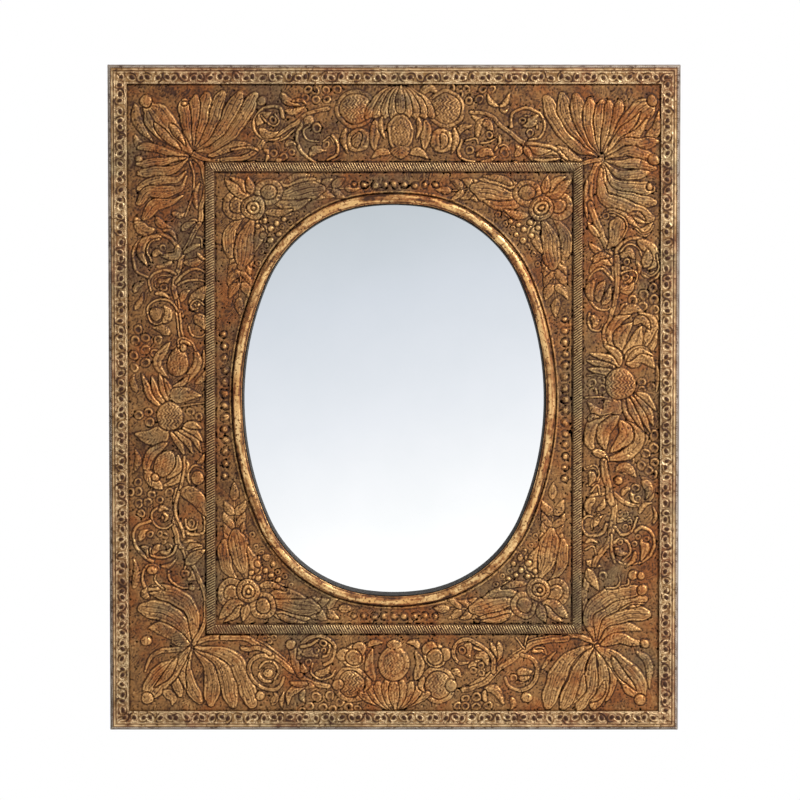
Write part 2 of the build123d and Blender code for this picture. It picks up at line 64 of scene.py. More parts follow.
def new_group(name, inputs, outputs):
    """An empty shader node group and its input node."""
    group = bpy.data.node_groups.new(name, "ShaderNodeTree")
    for label, value in inputs.items():
        kind = {tuple: "Color", float: "Float", Vector: "Vector"}[type(value)]
        socket = group.interface.new_socket(label, in_out="INPUT",
                                            socket_type="NodeSocket" + kind)
        socket.default_value = value
    for label in outputs:
        kind = "Color" if label == "Color" else "Float"
        group.interface.new_socket(label, in_out="OUTPUT", socket_type="NodeSocket" + kind)
    return group, add_node(group, "NodeGroupInput").outputs


def math(tree, operation, *values):
    """The result of a Math node."""
    return add_node(tree, "Math", enumerate(values), operation=operation).outputs[0]


def blend_colour(tree, share, first, second, mode="MIX"):
    """The result of mixing two colours; a Mix node's colour sockets are its inputs 6 and 7."""
    return add_node(tree, "Mix", {0: share, 6: first, 7: second}, data_type="RGBA",
                    blend_type=mode).outputs[2]


def ramp(tree, value, *stops):
    """A colour ramp through (place, colour) stops."""
    node = add_node(tree, "ValToRGB", {"Fac": value})
    elements = node.color_ramp.elements
    while len(elements) < len(stops):
        elements.new(0.5)
    for element, (place, colour) in zip(elements, stops):
        element.position = place
        element.color = colour if isinstance(colour, tuple) else (colour, colour, colour, 1)
    return node.outputs["Color"]


def noise(tree, place, scale, detail=3.0, roughness=0.55):
    """The value of a noise texture."""
    return add_node(tree, "TexNoise", {"Vector": place, "Scale": scale, "Detail": detail,
                                       "Roughness": roughness}).outputs["Fac"]


def new_material(name, colour, roughness, metallic=0.0):
    """A material, its tree, its shader and the place on the object."""
    material = bpy.data.materials.new(name)
    material.use_nodes = True
    tree = material.node_tree
    shader = tree.nodes["Principled BSDF"]
    feed(tree, shader, {"Base Color": colour, "Roughness": roughness, "Metallic": metallic,
                        "Specular IOR Level": 0.3})
    return material, tree, shader, add_node(tree, "TexCoord").outputs["Object"]


def add_bump(tree, shader, height, strength, distance):
    """Feeds a height to the shader's normal."""
    bump = add_node(tree, "Bump", {"Height": height, "Strength": strength, "Distance": distance})
    feed(tree, shader, {"Normal": bump.outputs["Normal"]})


def finish_node(name, material):
    """Gives a node of the frame its finish."""
    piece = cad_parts[name]
    piece.data.materials.clear()
    piece.data.materials.append(material)


grain, given = new_group("wood grain", {"Place": Vector((0, 0, 0)), "Light": (1.0, 1.0, 1.0, 1.0),
                                        "Dark": (0.0, 0.0, 0.0, 1.0), "Contrast": 0.5},
                         ("Color", "Height", "Roughness"))
drift = add_node(grain, "TexNoise", {"Vector": given["Place"], "Scale": 3.0, "Detail": 2.0})
bands = math(grain, "ADD", add_node(grain, "SeparateXYZ", {"Vector": given["Place"]}).outputs["X"],
             math(grain, "MULTIPLY", drift.outputs["Fac"], 1.6))
year_rings = math(grain, "PINGPONG", math(grain, "MULTIPLY", bands, 4.0), 1.0)
fibre = noise(grain, given["Place"], 22.0, 4.0)
figure = math(grain, "ADD", math(grain, "MULTIPLY", year_rings, given["Contrast"]),
              math(grain, "MULTIPLY", fibre, math(grain, "SUBTRACT", 1.0, given["Contrast"])))
add_node(grain, "NodeGroupOutput", {
    "Color": blend_colour(grain, ramp(grain, figure, (0.27, 0.0), (0.72, 1.0)), given["Light"],
                          given["Dark"]),
    "Height": figure, "Roughness": math(grain, "MULTIPLY_ADD", figure, -0.15, 0.75)})

across_grain, along_grain = 70.0, 1.2       # how far the figure is drawn out, per metre


def wood(name, light, dark, along):
    """Bare wood whose grain runs along the X or the Z axis."""
    material, tree, shader, place = new_material(name, light, 0.7)
    stretch = [along_grain if axis == along else across_grain for axis in "XYZ"]
    turn = (0, radians(90), 0) if along == "X" else (0, 0, 0)
    mapped = add_node(tree, "Mapping", {"Vector": place, "Scale": stretch, "Rotation": turn})
    figure = add_node(tree, "Group", {"Place": mapped.outputs["Vector"], "Light": light,
                                      "Dark": dark}, node_tree=grain).outputs
    stain = ramp(tree, noise(tree, place, 7.0, 4.0), (0.35, 0.62), (0.65, 1.0))
    feed(tree, shader, {
        "Base Color": blend_colour(tree, 1.0, figure["Color"], stain, "MULTIPLY"),
        "Roughness": figure["Roughness"]})
    add_bump(tree, shader, figure["Height"], 0.25, 0.0004)
    return material


pine_light, pine_dark = (0.38, 0.23, 0.11, 1), (0.21, 0.105, 0.045, 1)
upright_pine = wood("upright pine", pine_light, pine_dark, "Z")
level_pine = wood("level pine", pine_light, pine_dark, "X")
for name in ("stile_left", "stile_right"):
    finish_node(name, upright_pine)
for name in ("rail_top", "rail_bottom"):
    finish_node(name, level_pine)
finish_node("oval_panel", wood("birch ply", (0.42, 0.27, 0.14, 1), (0.26, 0.15, 0.07, 1), "X"))

# ---- mirror, its card and the back board -------------------------------------------------------
# Silvered 3 mm glass in the carcass, a sheet of card against its back, and a hardboard panel held
# by square cut brads.  Forged nails hold the carcass, and zinced screws the hangers' straps.
silver, tree, shader, place = new_material("silvered glass", (0.93, 0.94, 0.945, 1), 0.015, 1.0)
feed(tree, shader, {"Base Color": ramp(tree, noise(tree, place, 9.0, 5.0),
                                       (0.3, (0.90, 0.915, 0.92, 1)),
                                       (0.75, (0.95, 0.955, 0.96, 1)))})
finish_node("mirror_glass", silver)

card, tree, shader, place = new_material("grey card", (0.33, 0.26, 0.18, 1), 0.9)
feed(tree, shader, {"Base Color": ramp(tree, noise(tree, place, 260.0),
                                       (0.3, (0.24, 0.18, 0.12, 1)),
                                       (0.7, (0.38, 0.30, 0.21, 1)))})
finish_node("backing_card", card)

board, tree, shader, place = new_material("tempered hardboard", (0.12, 0.062, 0.03, 1), 0.55)
fleck = noise(tree, place, 420.0, 4.0, 0.7)
pressed = ramp(tree, fleck, (0.36, (0.085, 0.040, 0.020, 1)), (0.62, (0.22, 0.125, 0.065, 1)))
dust = math(tree, "MULTIPLY", noise(tree, place, 5.0, 3.0), 0.6)
feed(tree, shader, {"Base Color": blend_colour(tree, dust, pressed, (0.24, 0.16, 0.10, 1))})
add_bump(tree, shader, fleck, 0.3, 0.0003)
finish_node("back_board", board)


def old_iron(name, clean, rusty):
    """Iron or zinced steel with spots of rust."""
    material, tree, shader, place = new_material(name, clean, 0.42, 1.0)
    rust = noise(tree, place, 260.0, 5.0, 0.65)
    feed(tree, shader, {"Base Color": ramp(tree, rust, (0.46, clean), (0.74, rusty)),
                        "Roughness": ramp(tree, rust, (0.44, 0.36), (0.75, 0.7))})
    add_bump(tree, shader, rust, 0.2, 0.0002)
    return material


forged_iron = old_iron("forged iron", (0.125, 0.105, 0.09, 1), (0.17, 0.08, 0.035, 1))
zinced_steel = old_iron("zinced steel", (0.42, 0.40, 0.37, 1), (0.24, 0.16, 0.10, 1))
for name in ("corner_nails", "back_brads"):
    finish_node(name, forged_iron)
for name in ("hanger_screws", "hanger_plate_left", "hanger_plate_right"):
    finish_node(name, zinced_steel)

# ---- embossed sheets: the drawing --------------------------------------------------------------
# Thin tin, worked from the back on pitch and chased from the front.  The relief is drawn in units
# of 1.07 mm, each form over the one before, with a chased line round every form.
unit = 1.07
middle_x, middle_y = 394.0, 397.0       # the frame's middle, with y running down
cell = 0.66
columns = np.arange(122.0, 666.0, cell)
rows = np.arange(78.0, 716.0, cell)
relief = np.zeros((len(rows), len(columns)))        # millimetres above the sheet
chased_line, line_depth = 0.95, -0.6
margin = 1.5                            # room round a form for its chased line
sheet = (0, 0, 1, 1, 1)                 # where a part's own drawing starts, its scale and flips


def use_sheet(x, y, enlargement, flip_x=1, flip_y=1):
    """Sets where the next part is drawn, and how much larger its own drawing is."""
    global sheet
    sheet = (x, y, enlargement, flip_x, flip_y)


def put(points):
    """Where points of a part's own drawing lie on the whole drawing."""
    x, y, enlargement, flip_x, flip_y = sheet
    return np.array([(x + flip_x * px / enlargement, y + flip_y * py / enlargement)
                     for px, py in points])


def patch(points, reach):
    """The cells round some points, and their places."""
    low, high = points.min(0) - reach - margin, points.max(0) + reach + margin
    across = slice(max(int((low[0] - columns[0]) / cell), 0),
                   max(int((high[0] - columns[0]) / cell) + 1, 0))
    down = slice(max(int((low[1] - rows[0]) / cell), 0),
                 max(int((high[1] - rows[0]) / cell) + 1, 0))
    return (down, across), *np.meshgrid(columns[across], rows[down])


def curve(points, steps=7):
    """A smooth line through some points."""
    points = np.vstack([2 * points[0] - points[1], points, 2 * points[-1] - points[-2]])
    share = np.linspace(0, 1, steps, endpoint=False)[:, None]
    spans = [0.5 * (2 * b + (c - a) * share + (2 * a - 5 * b + 4 * c - d) * share ** 2
                    + (3 * b - a - 3 * c + d) * share ** 3)
             for a, b, c, d in zip(points, points[1:], points[2:], points[3:])]
    return np.vstack(spans + [points[-2:-1]])


def follow(line, across, down):
    """Distance from a line, the way along it from 0 to 1, the side, and the line's length."""
    lengths = np.hypot(*np.diff(line, axis=0).T)
    total = lengths.sum()
    nearest = np.full(across.shape, 1e9)
    share, side = np.zeros(across.shape), np.ones(across.shape)
    start = 0
    for (ax, ay), (bx, by), length in zip(line, line[1:], lengths):
        if length < 1e-6:
            continue
        ux, uy = (bx - ax) / length, (by - ay) / length
        reach = np.clip((across - ax) * ux + (down - ay) * uy, 0, length)
        off_x, off_y = across - ax - reach * ux, down - ay - reach * uy
        distance = np.hypot(off_x, off_y)
        closer = distance < nearest
        nearest = np.where(closer, distance, nearest)
        share = np.where(closer, (start + reach) / total, share)
        side = np.where(closer, np.where(ux * off_y - uy * off_x < 0, -1.0, 1.0), side)
        start += length
    return nearest, share, side, total


def lay(at, inside, form):
    """Lays a form over the drawing where inside is above 0, with a chased line round it."""
    here = relief[at]
    line = (inside <= 0) & (inside > -chased_line)
    here[line] = np.minimum(here[line] * 0.3, line_depth)
    over = inside > 0
    here[over] = form[over]


wide_stem = 1.9


def stem(points, width, height=1.7, taper=0.35):
    """A round stem that thins towards its end, with a line along it where it is wide."""
    line = curve(put(points))
    half = width / sheet[2] / 2
    at, across, down = patch(line, half)
    distance, share, *_ = follow(line, across, down)
    girth = half * (1 - taper * share)
    q = np.clip(distance / girth, 0, 1)
    form = height * np.sqrt(1 - 0.75 * q * q)
    if half > wide_stem:
        form -= 0.7 * np.exp(-(distance / 0.5) ** 2)
    lay(at, girth - distance, form)


def lobe(points, breadth, height=2.9, lines=1.5):
    """One flute of a palmette: narrow at its foot, full and round at its end, with long lines."""
    line = curve(put(points))
    half = breadth / sheet[2] / 2
    at, across, down = patch(line, half)
    distance, share, side, _ = follow(line, across, down)
    widening = 0.16 + 0.84 * np.sin(np.clip(share / 0.7, 0, 1) * pi / 2) ** 1.2
    closing = np.sqrt(np.clip(1 - np.clip((share - 0.8) / 0.2, 0, 1) ** 2 * 0.75, 0, 1))
    girth = half * widening * closing
    q = np.clip(distance / np.maximum(girth, 0.01), 0, 1)
    form = height * (0.5 + 0.5 * np.sqrt(1 - q ** 4)) * (0.72 + 0.28 * share)
    form -= 0.8 * np.clip(np.cos(lines * 2 * pi * (q - 0.62)), 0, 1) ** 2
    form += 0.2 * np.cos(distance * side * 2 * pi / 2.2 + 4.0 * share)
    lay(at, girth - distance, form)


def flutes(*strokes, height=2.9, lines=1.5):
    """Flutes of a palmette, each over the one before: the breadth of each, then its points."""
    for breadth, *points in strokes:
        lobe(points, breadth, height, lines)


def leaf(points, breadth, height=2.3, veins=3.2, blunt=0.75, lines=0):
    """A pointed leaf with a middle rib and slanting veins, or with lines along it."""
    line = curve(put(points))
    half = breadth / sheet[2] / 2
    at, across, down = patch(line, half)
    distance, share, _, length = follow(line, across, down)
    girth = half * np.sin(pi * np.clip(share, 0.001, 1) ** blunt) ** 0.8
    q = np.clip(distance / np.maximum(girth, 0.01), 0, 1)
    form = height * (0.55 + 0.45 * np.sqrt(1 - q * q))
    if lines:
        form -= 0.75 * np.clip(np.cos(lines * pi * q), 0, 1) ** 2 * (q < 0.92)
        form -= 0.3 * np.clip(np.cos((share * length + distance) * 2 * pi / 3.3), 0, 1) ** 2
    else:
        slant = np.cos((share * length - distance * 0.9) * 2 * pi / veins)
        form -= 0.7 * np.clip(slant, 0, 1) ** 2 * (q > 0.2) * (q < 0.92)
        form += 0.35 * np.exp(-(distance / 0.55) ** 2)
    lay(at, girth - distance, form)


def blades(breadth, height, *petals, lines=2):
    """Long petals with lines along them."""
    for petal in petals:
        leaf(petal, breadth, height, blunt=0.85, lines=lines)


def rings(radius, *places):
    """A cluster of punched rings."""
    for x, y in places:
        ring(x, y, radius)


def round_patch(x, y, radius):
    """The cells round a circle, its centre, its radius, and how far off the cells lie."""
    centre = put([(x, y)])
    size = radius / sheet[2]
    at, across, down = patch(centre, size)
    return at, centre[0], size, across - centre[0, 0], down - centre[0, 1]


dot_row, dot_pitch = 2.3, 2.6


def ball(x, y, radius, height=3.4, dots=True):
    """A round berry, stippled where it is large."""
    at, _, size, off_x, off_y = round_patch(x, y, radius)
    reach = np.hypot(off_x, off_y)
    q = np.clip(reach / size, 0, 1)
    form = height * (0.35 + 0.65 * np.sqrt(1 - q * q))
    if dots and size > 6:
        turn = np.arctan2(off_y, off_x)
        row = np.round(reach / dot_row)
        count = np.maximum(np.round(row * dot_row * 2 * pi / dot_pitch), 1)
        form -= 0.6 * np.clip(np.cos(turn * count), 0, 1) * np.exp(
            -((reach - row * dot_row) / 0.7) ** 2) * (q < 0.86)
    if dots and size > 10:
        form -= 0.4 + 0.6 * np.cos((off_x + 1.7 * np.sin(off_y * 0.9)) * 2 * pi / 3.7) * (q < 0.9)
    lay(at, size - reach, form)


def seed_oval(x, y, half_width, half_height, turn=0, shell=0):
    """A pomegranate: an oval of seeds, inside a smooth split shell where it has one."""
    size = np.array([half_width, half_height]) / sheet[2]
    at, _, _, off_x, off_y = round_patch(x, y, max(half_width, half_height))
    off_x, off_y = off_x * sheet[3], off_y * sheet[4]
    a = radians(turn)
    u = (off_x * cos(a) + off_y * sin(a)) / size[0]
    v = (-off_x * sin(a) + off_y * cos(a)) / size[1]
    reach = np.hypot(u, v)
    form = 3.4 * (0.4 + 0.6 * np.sqrt(np.clip(1 - reach ** 2, 0, 1)))
    seeds = np.cos((u * size[0] + 0.8 * np.sin(v * size[1])) * 2 * pi / 3.3) \
        * np.cos(v * size[1] * 2 * pi / 4.2)
    inner = reach < 1 - shell
    form += np.where(inner, 0.6 * seeds - 0.3, 0)
    form -= 0.9 * np.exp(-((reach - (1 - shell)) / 0.07) ** 2) * (shell > 0)
    lay(at, (1 - reach) * min(size), form)


def ring(x, y, radius, height=1.6):
    """A ring from a round punch that leaned a little, so that one side stands higher."""
    at, centre, size, off_x, off_y = round_patch(x, y, radius)
    reach = np.hypot(off_x, off_y)
    lean = 0.62 + 0.38 * np.cos(np.arctan2(off_y, off_x) + 0.8 + sin(centre[0] + centre[1]))
    form = height * lean * np.exp(-((reach - 0.74 * size) / (0.19 * size)) ** 2)
    form -= 0.45 * np.exp(-(reach / (0.45 * size)) ** 2)
    lay(at, size - reach, form)


def scroll(x, y, radius, start, turn, width):
    """A tendril that rolls up round a small leaf and ends in a punched ring."""
    steps = 13
    line = []
    for i in range(steps):
        share = i / (steps - 1)
        r, a = radius * (1 - 0.62 * share), radians(start + turn * share)
        line.append((x + r * cos(a), y + r * sin(a)))
    stem(line, width, taper=0.55)
    a = radians(start + turn * 0.4 + 180)
    leaf([line[-1]] + [(x + part * radius * cos(a), y + part * radius * sin(a))
                       for part in (0.1, 0.62)], radius * 0.72, 2.2)
    ring(*line[-1], radius * 0.3, 2.4)


def fruit(x, y, radius, rim):
    """A stippled fruit in a smooth round calyx."""
    ball(x, y, rim, 2.0, dots=False)
    ball(x, y, radius, 3.4)


def disc(x, y, radius, ribs, height=1.9):
    """A round petal with ribs from its middle to its edge."""
    at, _, size, off_x, off_y = round_patch(x, y, radius)
    reach = np.hypot(off_x, off_y) / size
    turn = np.arctan2(off_y, off_x)
    form = height * (0.5 + 0.5 * np.sqrt(np.clip(1 - reach ** 4, 0, 1)))
    form += 0.3 * np.cos(turn * ribs) * (reach > 0.62)
    form -= 0.6 * np.exp(-((reach - 0.6) / 0.08) ** 2)
    lay(at, (1 - reach) * size, form)


def spray(points, pairs, length, breadth):
    """A stem with paired leaflets and one at its end."""
    line = curve(np.array(points, float), 6)
    stem(points, 7, 1.1)
    places = np.linspace(0, len(line) - 1, pairs + 1)[:-1]
    for spot in places[::-1].astype(int):
        here = line[spot]
        ahead = line[min(spot + 2, len(line) - 1)] - here
        for hand in (1, -1):
            bend = atan2(ahead[1], ahead[0]) + hand * radians(38)
            tip = here + length * np.array((cos(bend), sin(bend)))
            bend += hand * 0.25
            mid = here + length * 0.5 * np.array((cos(bend), sin(bend)))
            leaf([here, mid, tip], breadth, 1.7, 2.4)
    aim = line[-1] - line[-3]
    aim = aim / np.hypot(*aim)
    leaf([line[-1], line[-1] + aim * length * 0.5, line[-1] + aim * length], breadth, 1.7, 2.4)


# Lower right corner.
use_sheet(500, 450, 5.227)
stem([(545, 510), (488, 590), (452, 690), (447, 800), (468, 920), (500, 1010)], 30, taper=-0.1)
stem([(500, 1005), (420, 975), (330, 972), (200, 985), (100, 1045), (0, 1130), (-90, 1190),
      (-185, 1245)], 26, taper=0.3)
use_sheet(566, 540, 6.4)
flutes((62, (215, 690), (290, 780), (300, 890), (270, 1010)),
       (90, (205, 695), (240, 800), (235, 940), (185, 1060)),
       (96, (190, 700), (170, 810), (150, 950), (90, 1070)),
       (100, (178, 690), (100, 790), (50, 930), (-10, 1060)),
       (108, (165, 680), (40, 730), (-60, 880), (-110, 1050)))
blades(46, 2.0, [(250, 900), (225, 980), (160, 1040)], [(120, 860), (110, 960), (50, 1050)])
leaf([(450, 700), (530, 780), (540, 960)], 50, 1.9)
lobe([(205, 675), (300, 740), (410, 860), (485, 990)], 150, 2.9, 2.5)
leaf([(300, 740), (360, 850), (450, 960)], 50, 3.0)
leaf([(215, 655), (290, 570), (380, 545), (490, 575)], 78, 2.6)
leaf([(225, 665), (340, 625), (430, 650), (525, 650)], 66, 2.4)
flutes((92, (205, 640), (260, 520), (390, 470), (525, 470)),
       (96, (195, 640), (215, 480), (320, 400), (505, 375)),
       (100, (185, 645), (150, 470), (270, 350), (470, 310)))
stem([(350, 440), (430, 400), (500, 410)], 12, 2.9)
for x, y, radius in ((482, 1022, 38), (490, 312, 34), (510, 655, 26)):
    ball(x, y, radius)
leaf([(140, 170), (165, 240), (205, 315)], 62, 2.8)
leaf([(130, 120), (180, 150), (230, 160)], 46, 2.2)
ring(238, 217, 30)
stem([(262, 300), (320, 290), (350, 250), (340, 210)], 14)
stem([(360, 285), (400, 270), (405, 225)], 13)
ball(432, 215, 28, 2.8)
ball(480, 222, 26, 2.8)
stem([(300, 40), (330, 125), (420, 150), (500, 110), (540, 20)], 12)
leaf([(490, 110), (520, 40), (500, -20)], 40, 2.2)

# Lower left corner.
use_sheet(100, 450, 5.227)
stem([(500, 1005), (600, 975), (700, 978), (820, 1000), (920, 1060), (1000, 1130), (1060, 1185),
      (1150, 1240)], 26, taper=0.3)
use_sheet(124, 540, 6.4)
flutes((60, (420, 700), (385, 810), (330, 880), (350, 985)),
       (80, (430, 700), (400, 830), (420, 930), (480, 1025)),
       (104, (445, 695), (540, 790), (560, 900), (555, 1040)),
       (104, (450, 690), (610, 770), (660, 900), (690, 1050)),
       (104, (455, 685), (680, 740), (760, 890), (820, 1050)))
leaf([(400, 745), (370, 850), (390, 960)], 44, 2.2)
stem([(385, 690), (260, 695), (175, 740), (130, 835)], 46, 1.9, taper=0.7)
lobe([(410, 690), (330, 790), (230, 880), (140, 985)], 150, 2.9, 2.5)
leaf([(330, 745), (280, 850), (190, 935)], 50, 3.0)
leaf([(430, 655), (330, 560), (255, 560), (150, 560)], 170, 2.6, blunt=0.6)
leaf([(250, 960), (300, 1010), (300, 1060)], 60, 1.6)
flutes((124, (432, 650), (380, 540), (270, 460), (120, 430)),
       (110, (440, 650), (430, 450), (330, 350), (175, 310)),
       lines=2.5)
stem([(215, 300), (135, 300), (112, 220), (150, 152), (208, 160), (205, 205)], 22)
stem([(250, 300), (195, 255), (200, 210)], 13)
leaf([(150, 370), (120, 330), (140, 290)], 46, 2.0)
for x, y, radius in ((140, 1005, 42), (135, 637, 32), (178, 185, 30)):
    ball(x, y, radius)
stem([(275, 190), (300, 255), (360, 290), (425, 295)], 15)
leaf([(400, 250), (440, 215), (500, 260)], 60, 2.3)
leaf([(470, 115), (470, 60), (500, 20)], 70, 2.7)
ring(385, 208, 26)
ball(432, 290, 20, 2.8)
leaf([(60, 300), (75, 200), (60, 100)], 40, 1.3)

# Upper left corner.
use_sheet(100, 50, 7.84)
stem([(720, 800), (797, 880), (828, 993), (828, 1148), (797, 1251), (780, 1358)], 36, taper=-0.1)
stem([(720, 800), (850, 850), (1000, 860), (1130, 830), (1230, 780)], 34)
leaf([(860, 820), (1000, 760), (1130, 740), (1220, 770)], 80, 2.2)
flutes((110, (760, 780), (900, 760), (1080, 590), (1215, 345)),
       (108, (750, 775), (880, 690), (990, 540), (1100, 345)),
       (104, (745, 770), (850, 640), (900, 480), (970, 330)),
       (100, (735, 765), (790, 600), (820, 450), (845, 350)),
       (96, (725, 765), (730, 600), (740, 480), (755, 370)),
       (84, (715, 765), (690, 620), (670, 500), (670, 390)))
use_sheet(124, 78, 7.6)
leaf([(85, 190), (115, 330), (225, 480)], 70, 1.8)
lobe([(508, 552), (400, 450), (300, 340), (200, 225)], 205, 2.9, 2.5)
leaf([(250, 330), (330, 430), (440, 540)], 66, 3.0)
leaf([(360, 330), (410, 400), (470, 510)], 54, 3.0)
leaf([(90, 420), (110, 480), (200, 540)], 52, 1.5)
flutes((56, (490, 580), (350, 560), (220, 520), (120, 510)),
       (60, (490, 590), (350, 620), (220, 640), (110, 640)),
       (72, (485, 600), (400, 680), (280, 700), (120, 720)),
       (78, (470, 700), (400, 760), (280, 770), (120, 830)),
       (84, (476, 735), (440, 820), (300, 860), (190, 860), (118, 935)),
       (88, (450, 890), (370, 930), (240, 960), (160, 1045)),
       height=2.6)
leaf([(95, 1040), (140, 1130), (230, 1190)], 70, 2.0)
leaf([(250, 1040), (300, 1110), (380, 1140)], 60, 1.8)
leaf([(360, 1010), (430, 1040), (480, 1010)], 44, 1.7)
stem([(505, 620), (535, 720), (535, 850), (500, 960), (470, 1040)], 16)
leaf([(560, 1000), (545, 880), (580, 780)], 40, 1.6)
for x, y, radius in ((172, 172, 48), (120, 600, 24), (527, 1092, 34), (470, 190, 20)):
    ball(x, y, radius)

# Upper right corner.
use_sheet(500, 50, 7.84)
stem([(790, 850), (730, 950), (700, 1080), (704, 1215)], 40, taper=-0.3)
stem([(780, 850), (640, 880), (480, 850), (330, 760)], 34)
leaf([(640, 860), (500, 800), (380, 790), (290, 830)], 80, 2.2)
use_sheet(570, 78, 6.4)
leaf([(175, 480), (60, 430), (-60, 330), (-120, 240)], 90, 2.0)
flutes((96, (175, 495), (40, 430), (-90, 280), (-155, 130)),
       (100, (178, 485), (60, 360), (-20, 240), (-55, 110)),
       (96, (182, 480), (95, 350), (55, 240), (35, 120)),
       (84, (188, 475), (130, 340), (120, 240), (125, 140)),
       (80, (195, 470), (185, 340), (185, 240), (195, 150)),
       (76, (202, 468), (225, 340), (245, 250), (240, 150)),
       (66, (208, 470), (265, 370), (290, 270), (310, 150)))
lobe([(225, 470), (310, 380), (400, 260), (505, 150)], 150, 2.9, 2.5)
leaf([(240, 465), (330, 350), (440, 220)], 60, 3.0)
leaf([(280, 430), (400, 370), (500, 240)], 58, 2.9)
leaf([(470, 400), (545, 320), (560, 200)], 66, 2.3)
flutes((72, (225, 485), (340, 420), (430, 420), (545, 400)),
       (66, (225, 505), (340, 460), (440, 480), (520, 500)),
       (66, (225, 520), (320, 540), (420, 540), (530, 570)),
       (62, (220, 530), (290, 600), (390, 615), (490, 600)),
       (92, (212, 545), (260, 660), (380, 700), (520, 700)),
       (84, (208, 560), (240, 720), (370, 770), (530, 790)),
       (100, (200, 580), (205, 750), (350, 820), (510, 890)),
       height=2.6)
leaf([(190, 890), (265, 850), (350, 880), (440, 950)], 56, 2.1)
leaf([(110, 640), (95, 760), (110, 900)], 34, 1.6)
for x, y, radius in ((530, 515, 34), (515, 140, 36), (505, 690, 22)):
    ball(x, y, radius)

# Top border, left of the middle.
use_sheet(224, 78, 7)
rings(30, (640, 88), (720, 78), (795, 74), (645, 150), (722, 148), (570, 135), (590, 80))
stem([(0, 568), (130, 558), (240, 500), (310, 415), (400, 370), (500, 310), (580, 255),
      (650, 232), (735, 212)], 36, taper=0.25)
stem([(300, 440), (420, 420), (500, 350)], 16)
stem([(240, 500), (160, 480), (60, 500)], 22)
stem([(415, 265), (400, 212), (330, 200), (255, 225), (215, 300), (235, 390), (320, 430),
      (405, 408)], 24)
leaf([(240, 330), (270, 270), (340, 240)], 66, 2.2)
leaf([(250, 350), (310, 390), (380, 360)], 66, 2.2)
stem([(262, 262), (300, 300), (350, 320), (385, 290), (365, 250)], 15, 2.4)
ring(345, 284, 27, 2.2)
leaf([(400, 95), (440, 150), (530, 190)], 60, 2.3)
leaf([(430, 230), (500, 230), (565, 200)], 44, 2.0)
leaf([(480, 160), (540, 150), (580, 190)], 30, 1.8)
stem([(555, 300), (518, 380), (535, 480), (600, 555), (690, 590)], 26)
stem([(600, 330), (560, 360), (590, 430), (660, 440)], 15)
leaf([(560, 320), (600, 290), (640, 330)], 50, 2.2)
ring(648, 345, 32, 2.2)
leaf([(600, 540), (650, 500), (725, 505)], 56, 2.8)
stem([(755, 402), (800, 450), (795, 530), (735, 575)], 22, 2.4)
stem([(690, 440), (730, 410), (775, 450)], 13)
ring(715, 468, 27, 2.4)
leaf([(285, 495), (318, 520), (300, 590)], 34, 2.3)
rings(28, (352, 520), (482, 512), (420, 545))
leaf([(430, 470), (470, 440), (520, 460)], 40, 1.8)
leaf([(20, 590), (120, 600), (220, 575)], 26, 1.5)
ball(268, 155, 33, 3.0)
ball(390, 570, 20, 2.0)

# Top border, right of the middle.
use_sheet(400, 78, 7)
rings(30, (460, 78), (482, 150), (556, 142), (352, 62), (412, 105), (640, 82), (575, 75))
leaf([(142, 105), (200, 60), (265, 92)], 60, 2.6)
leaf([(690, 200), (740, 155), (772, 92)], 36, 2.8)
leaf([(685, 195), (640, 160), (618, 108)], 36, 2.6)
leaf([(690, 210), (730, 230), (760, 200)], 26, 2.0)
stem([(870, 455), (800, 400), (700, 320), (600, 245), (495, 232)], 32, taper=0.2)
leaf([(600, 285), (550, 290), (492, 250)], 40, 2.2)
stem([(775, 330), (785, 250), (870, 208), (965, 240), (1005, 330), (980, 410), (900, 432)], 24)
stem([(840, 300), (880, 262), (940, 290), (950, 350)], 16)
leaf([(850, 330), (910, 310), (960, 250)], 70, 2.7)
ring(860, 300, 27, 2.2)
ring(905, 385, 27, 2.2)
leaf([(640, 290), (550, 320), (530, 420)], 54, 2.2)
leaf([(570, 330), (610, 320), (640, 400)], 60, 2.6)
ring(612, 392, 28, 2.4)
stem([(560, 450), (620, 440), (680, 400)], 15)
stem([(692, 400), (695, 455), (660, 505)], 26, 2.6)
stem([(430, 425), (408, 505), (440, 560), (520, 582)], 24, 2.2)
stem([(460, 430), (520, 410), (540, 450)], 15)
ring(487, 500, 30, 2.4)
leaf([(530, 540), (600, 510), (660, 545)], 60, 2.8)
leaf([(560, 580), (620, 575), (680, 540)], 30, 1.8)
ring(727, 518, 34, 2.0)
stem([(690, 480), (730, 470), (770, 520)], 12)
leaf([(390, 400), (430, 340), (500, 320)], 44, 2.0)
leaf([(800, 540), (830, 490), (800, 450)], 44, 2.0)
leaf([(870, 460), (960, 500), (1060, 505)], 60, 2.6)
leaf([(860, 470), (890, 530), (920, 575)], 44, 2.2)
leaf([(920, 560), (1020, 570), (1120, 560)], 30, 1.8)
ball(800, 590, 18, 2.0)
stem([(1160, 560), (1060, 480), (980, 460), (880, 455)], 26, 2.2, taper=0)

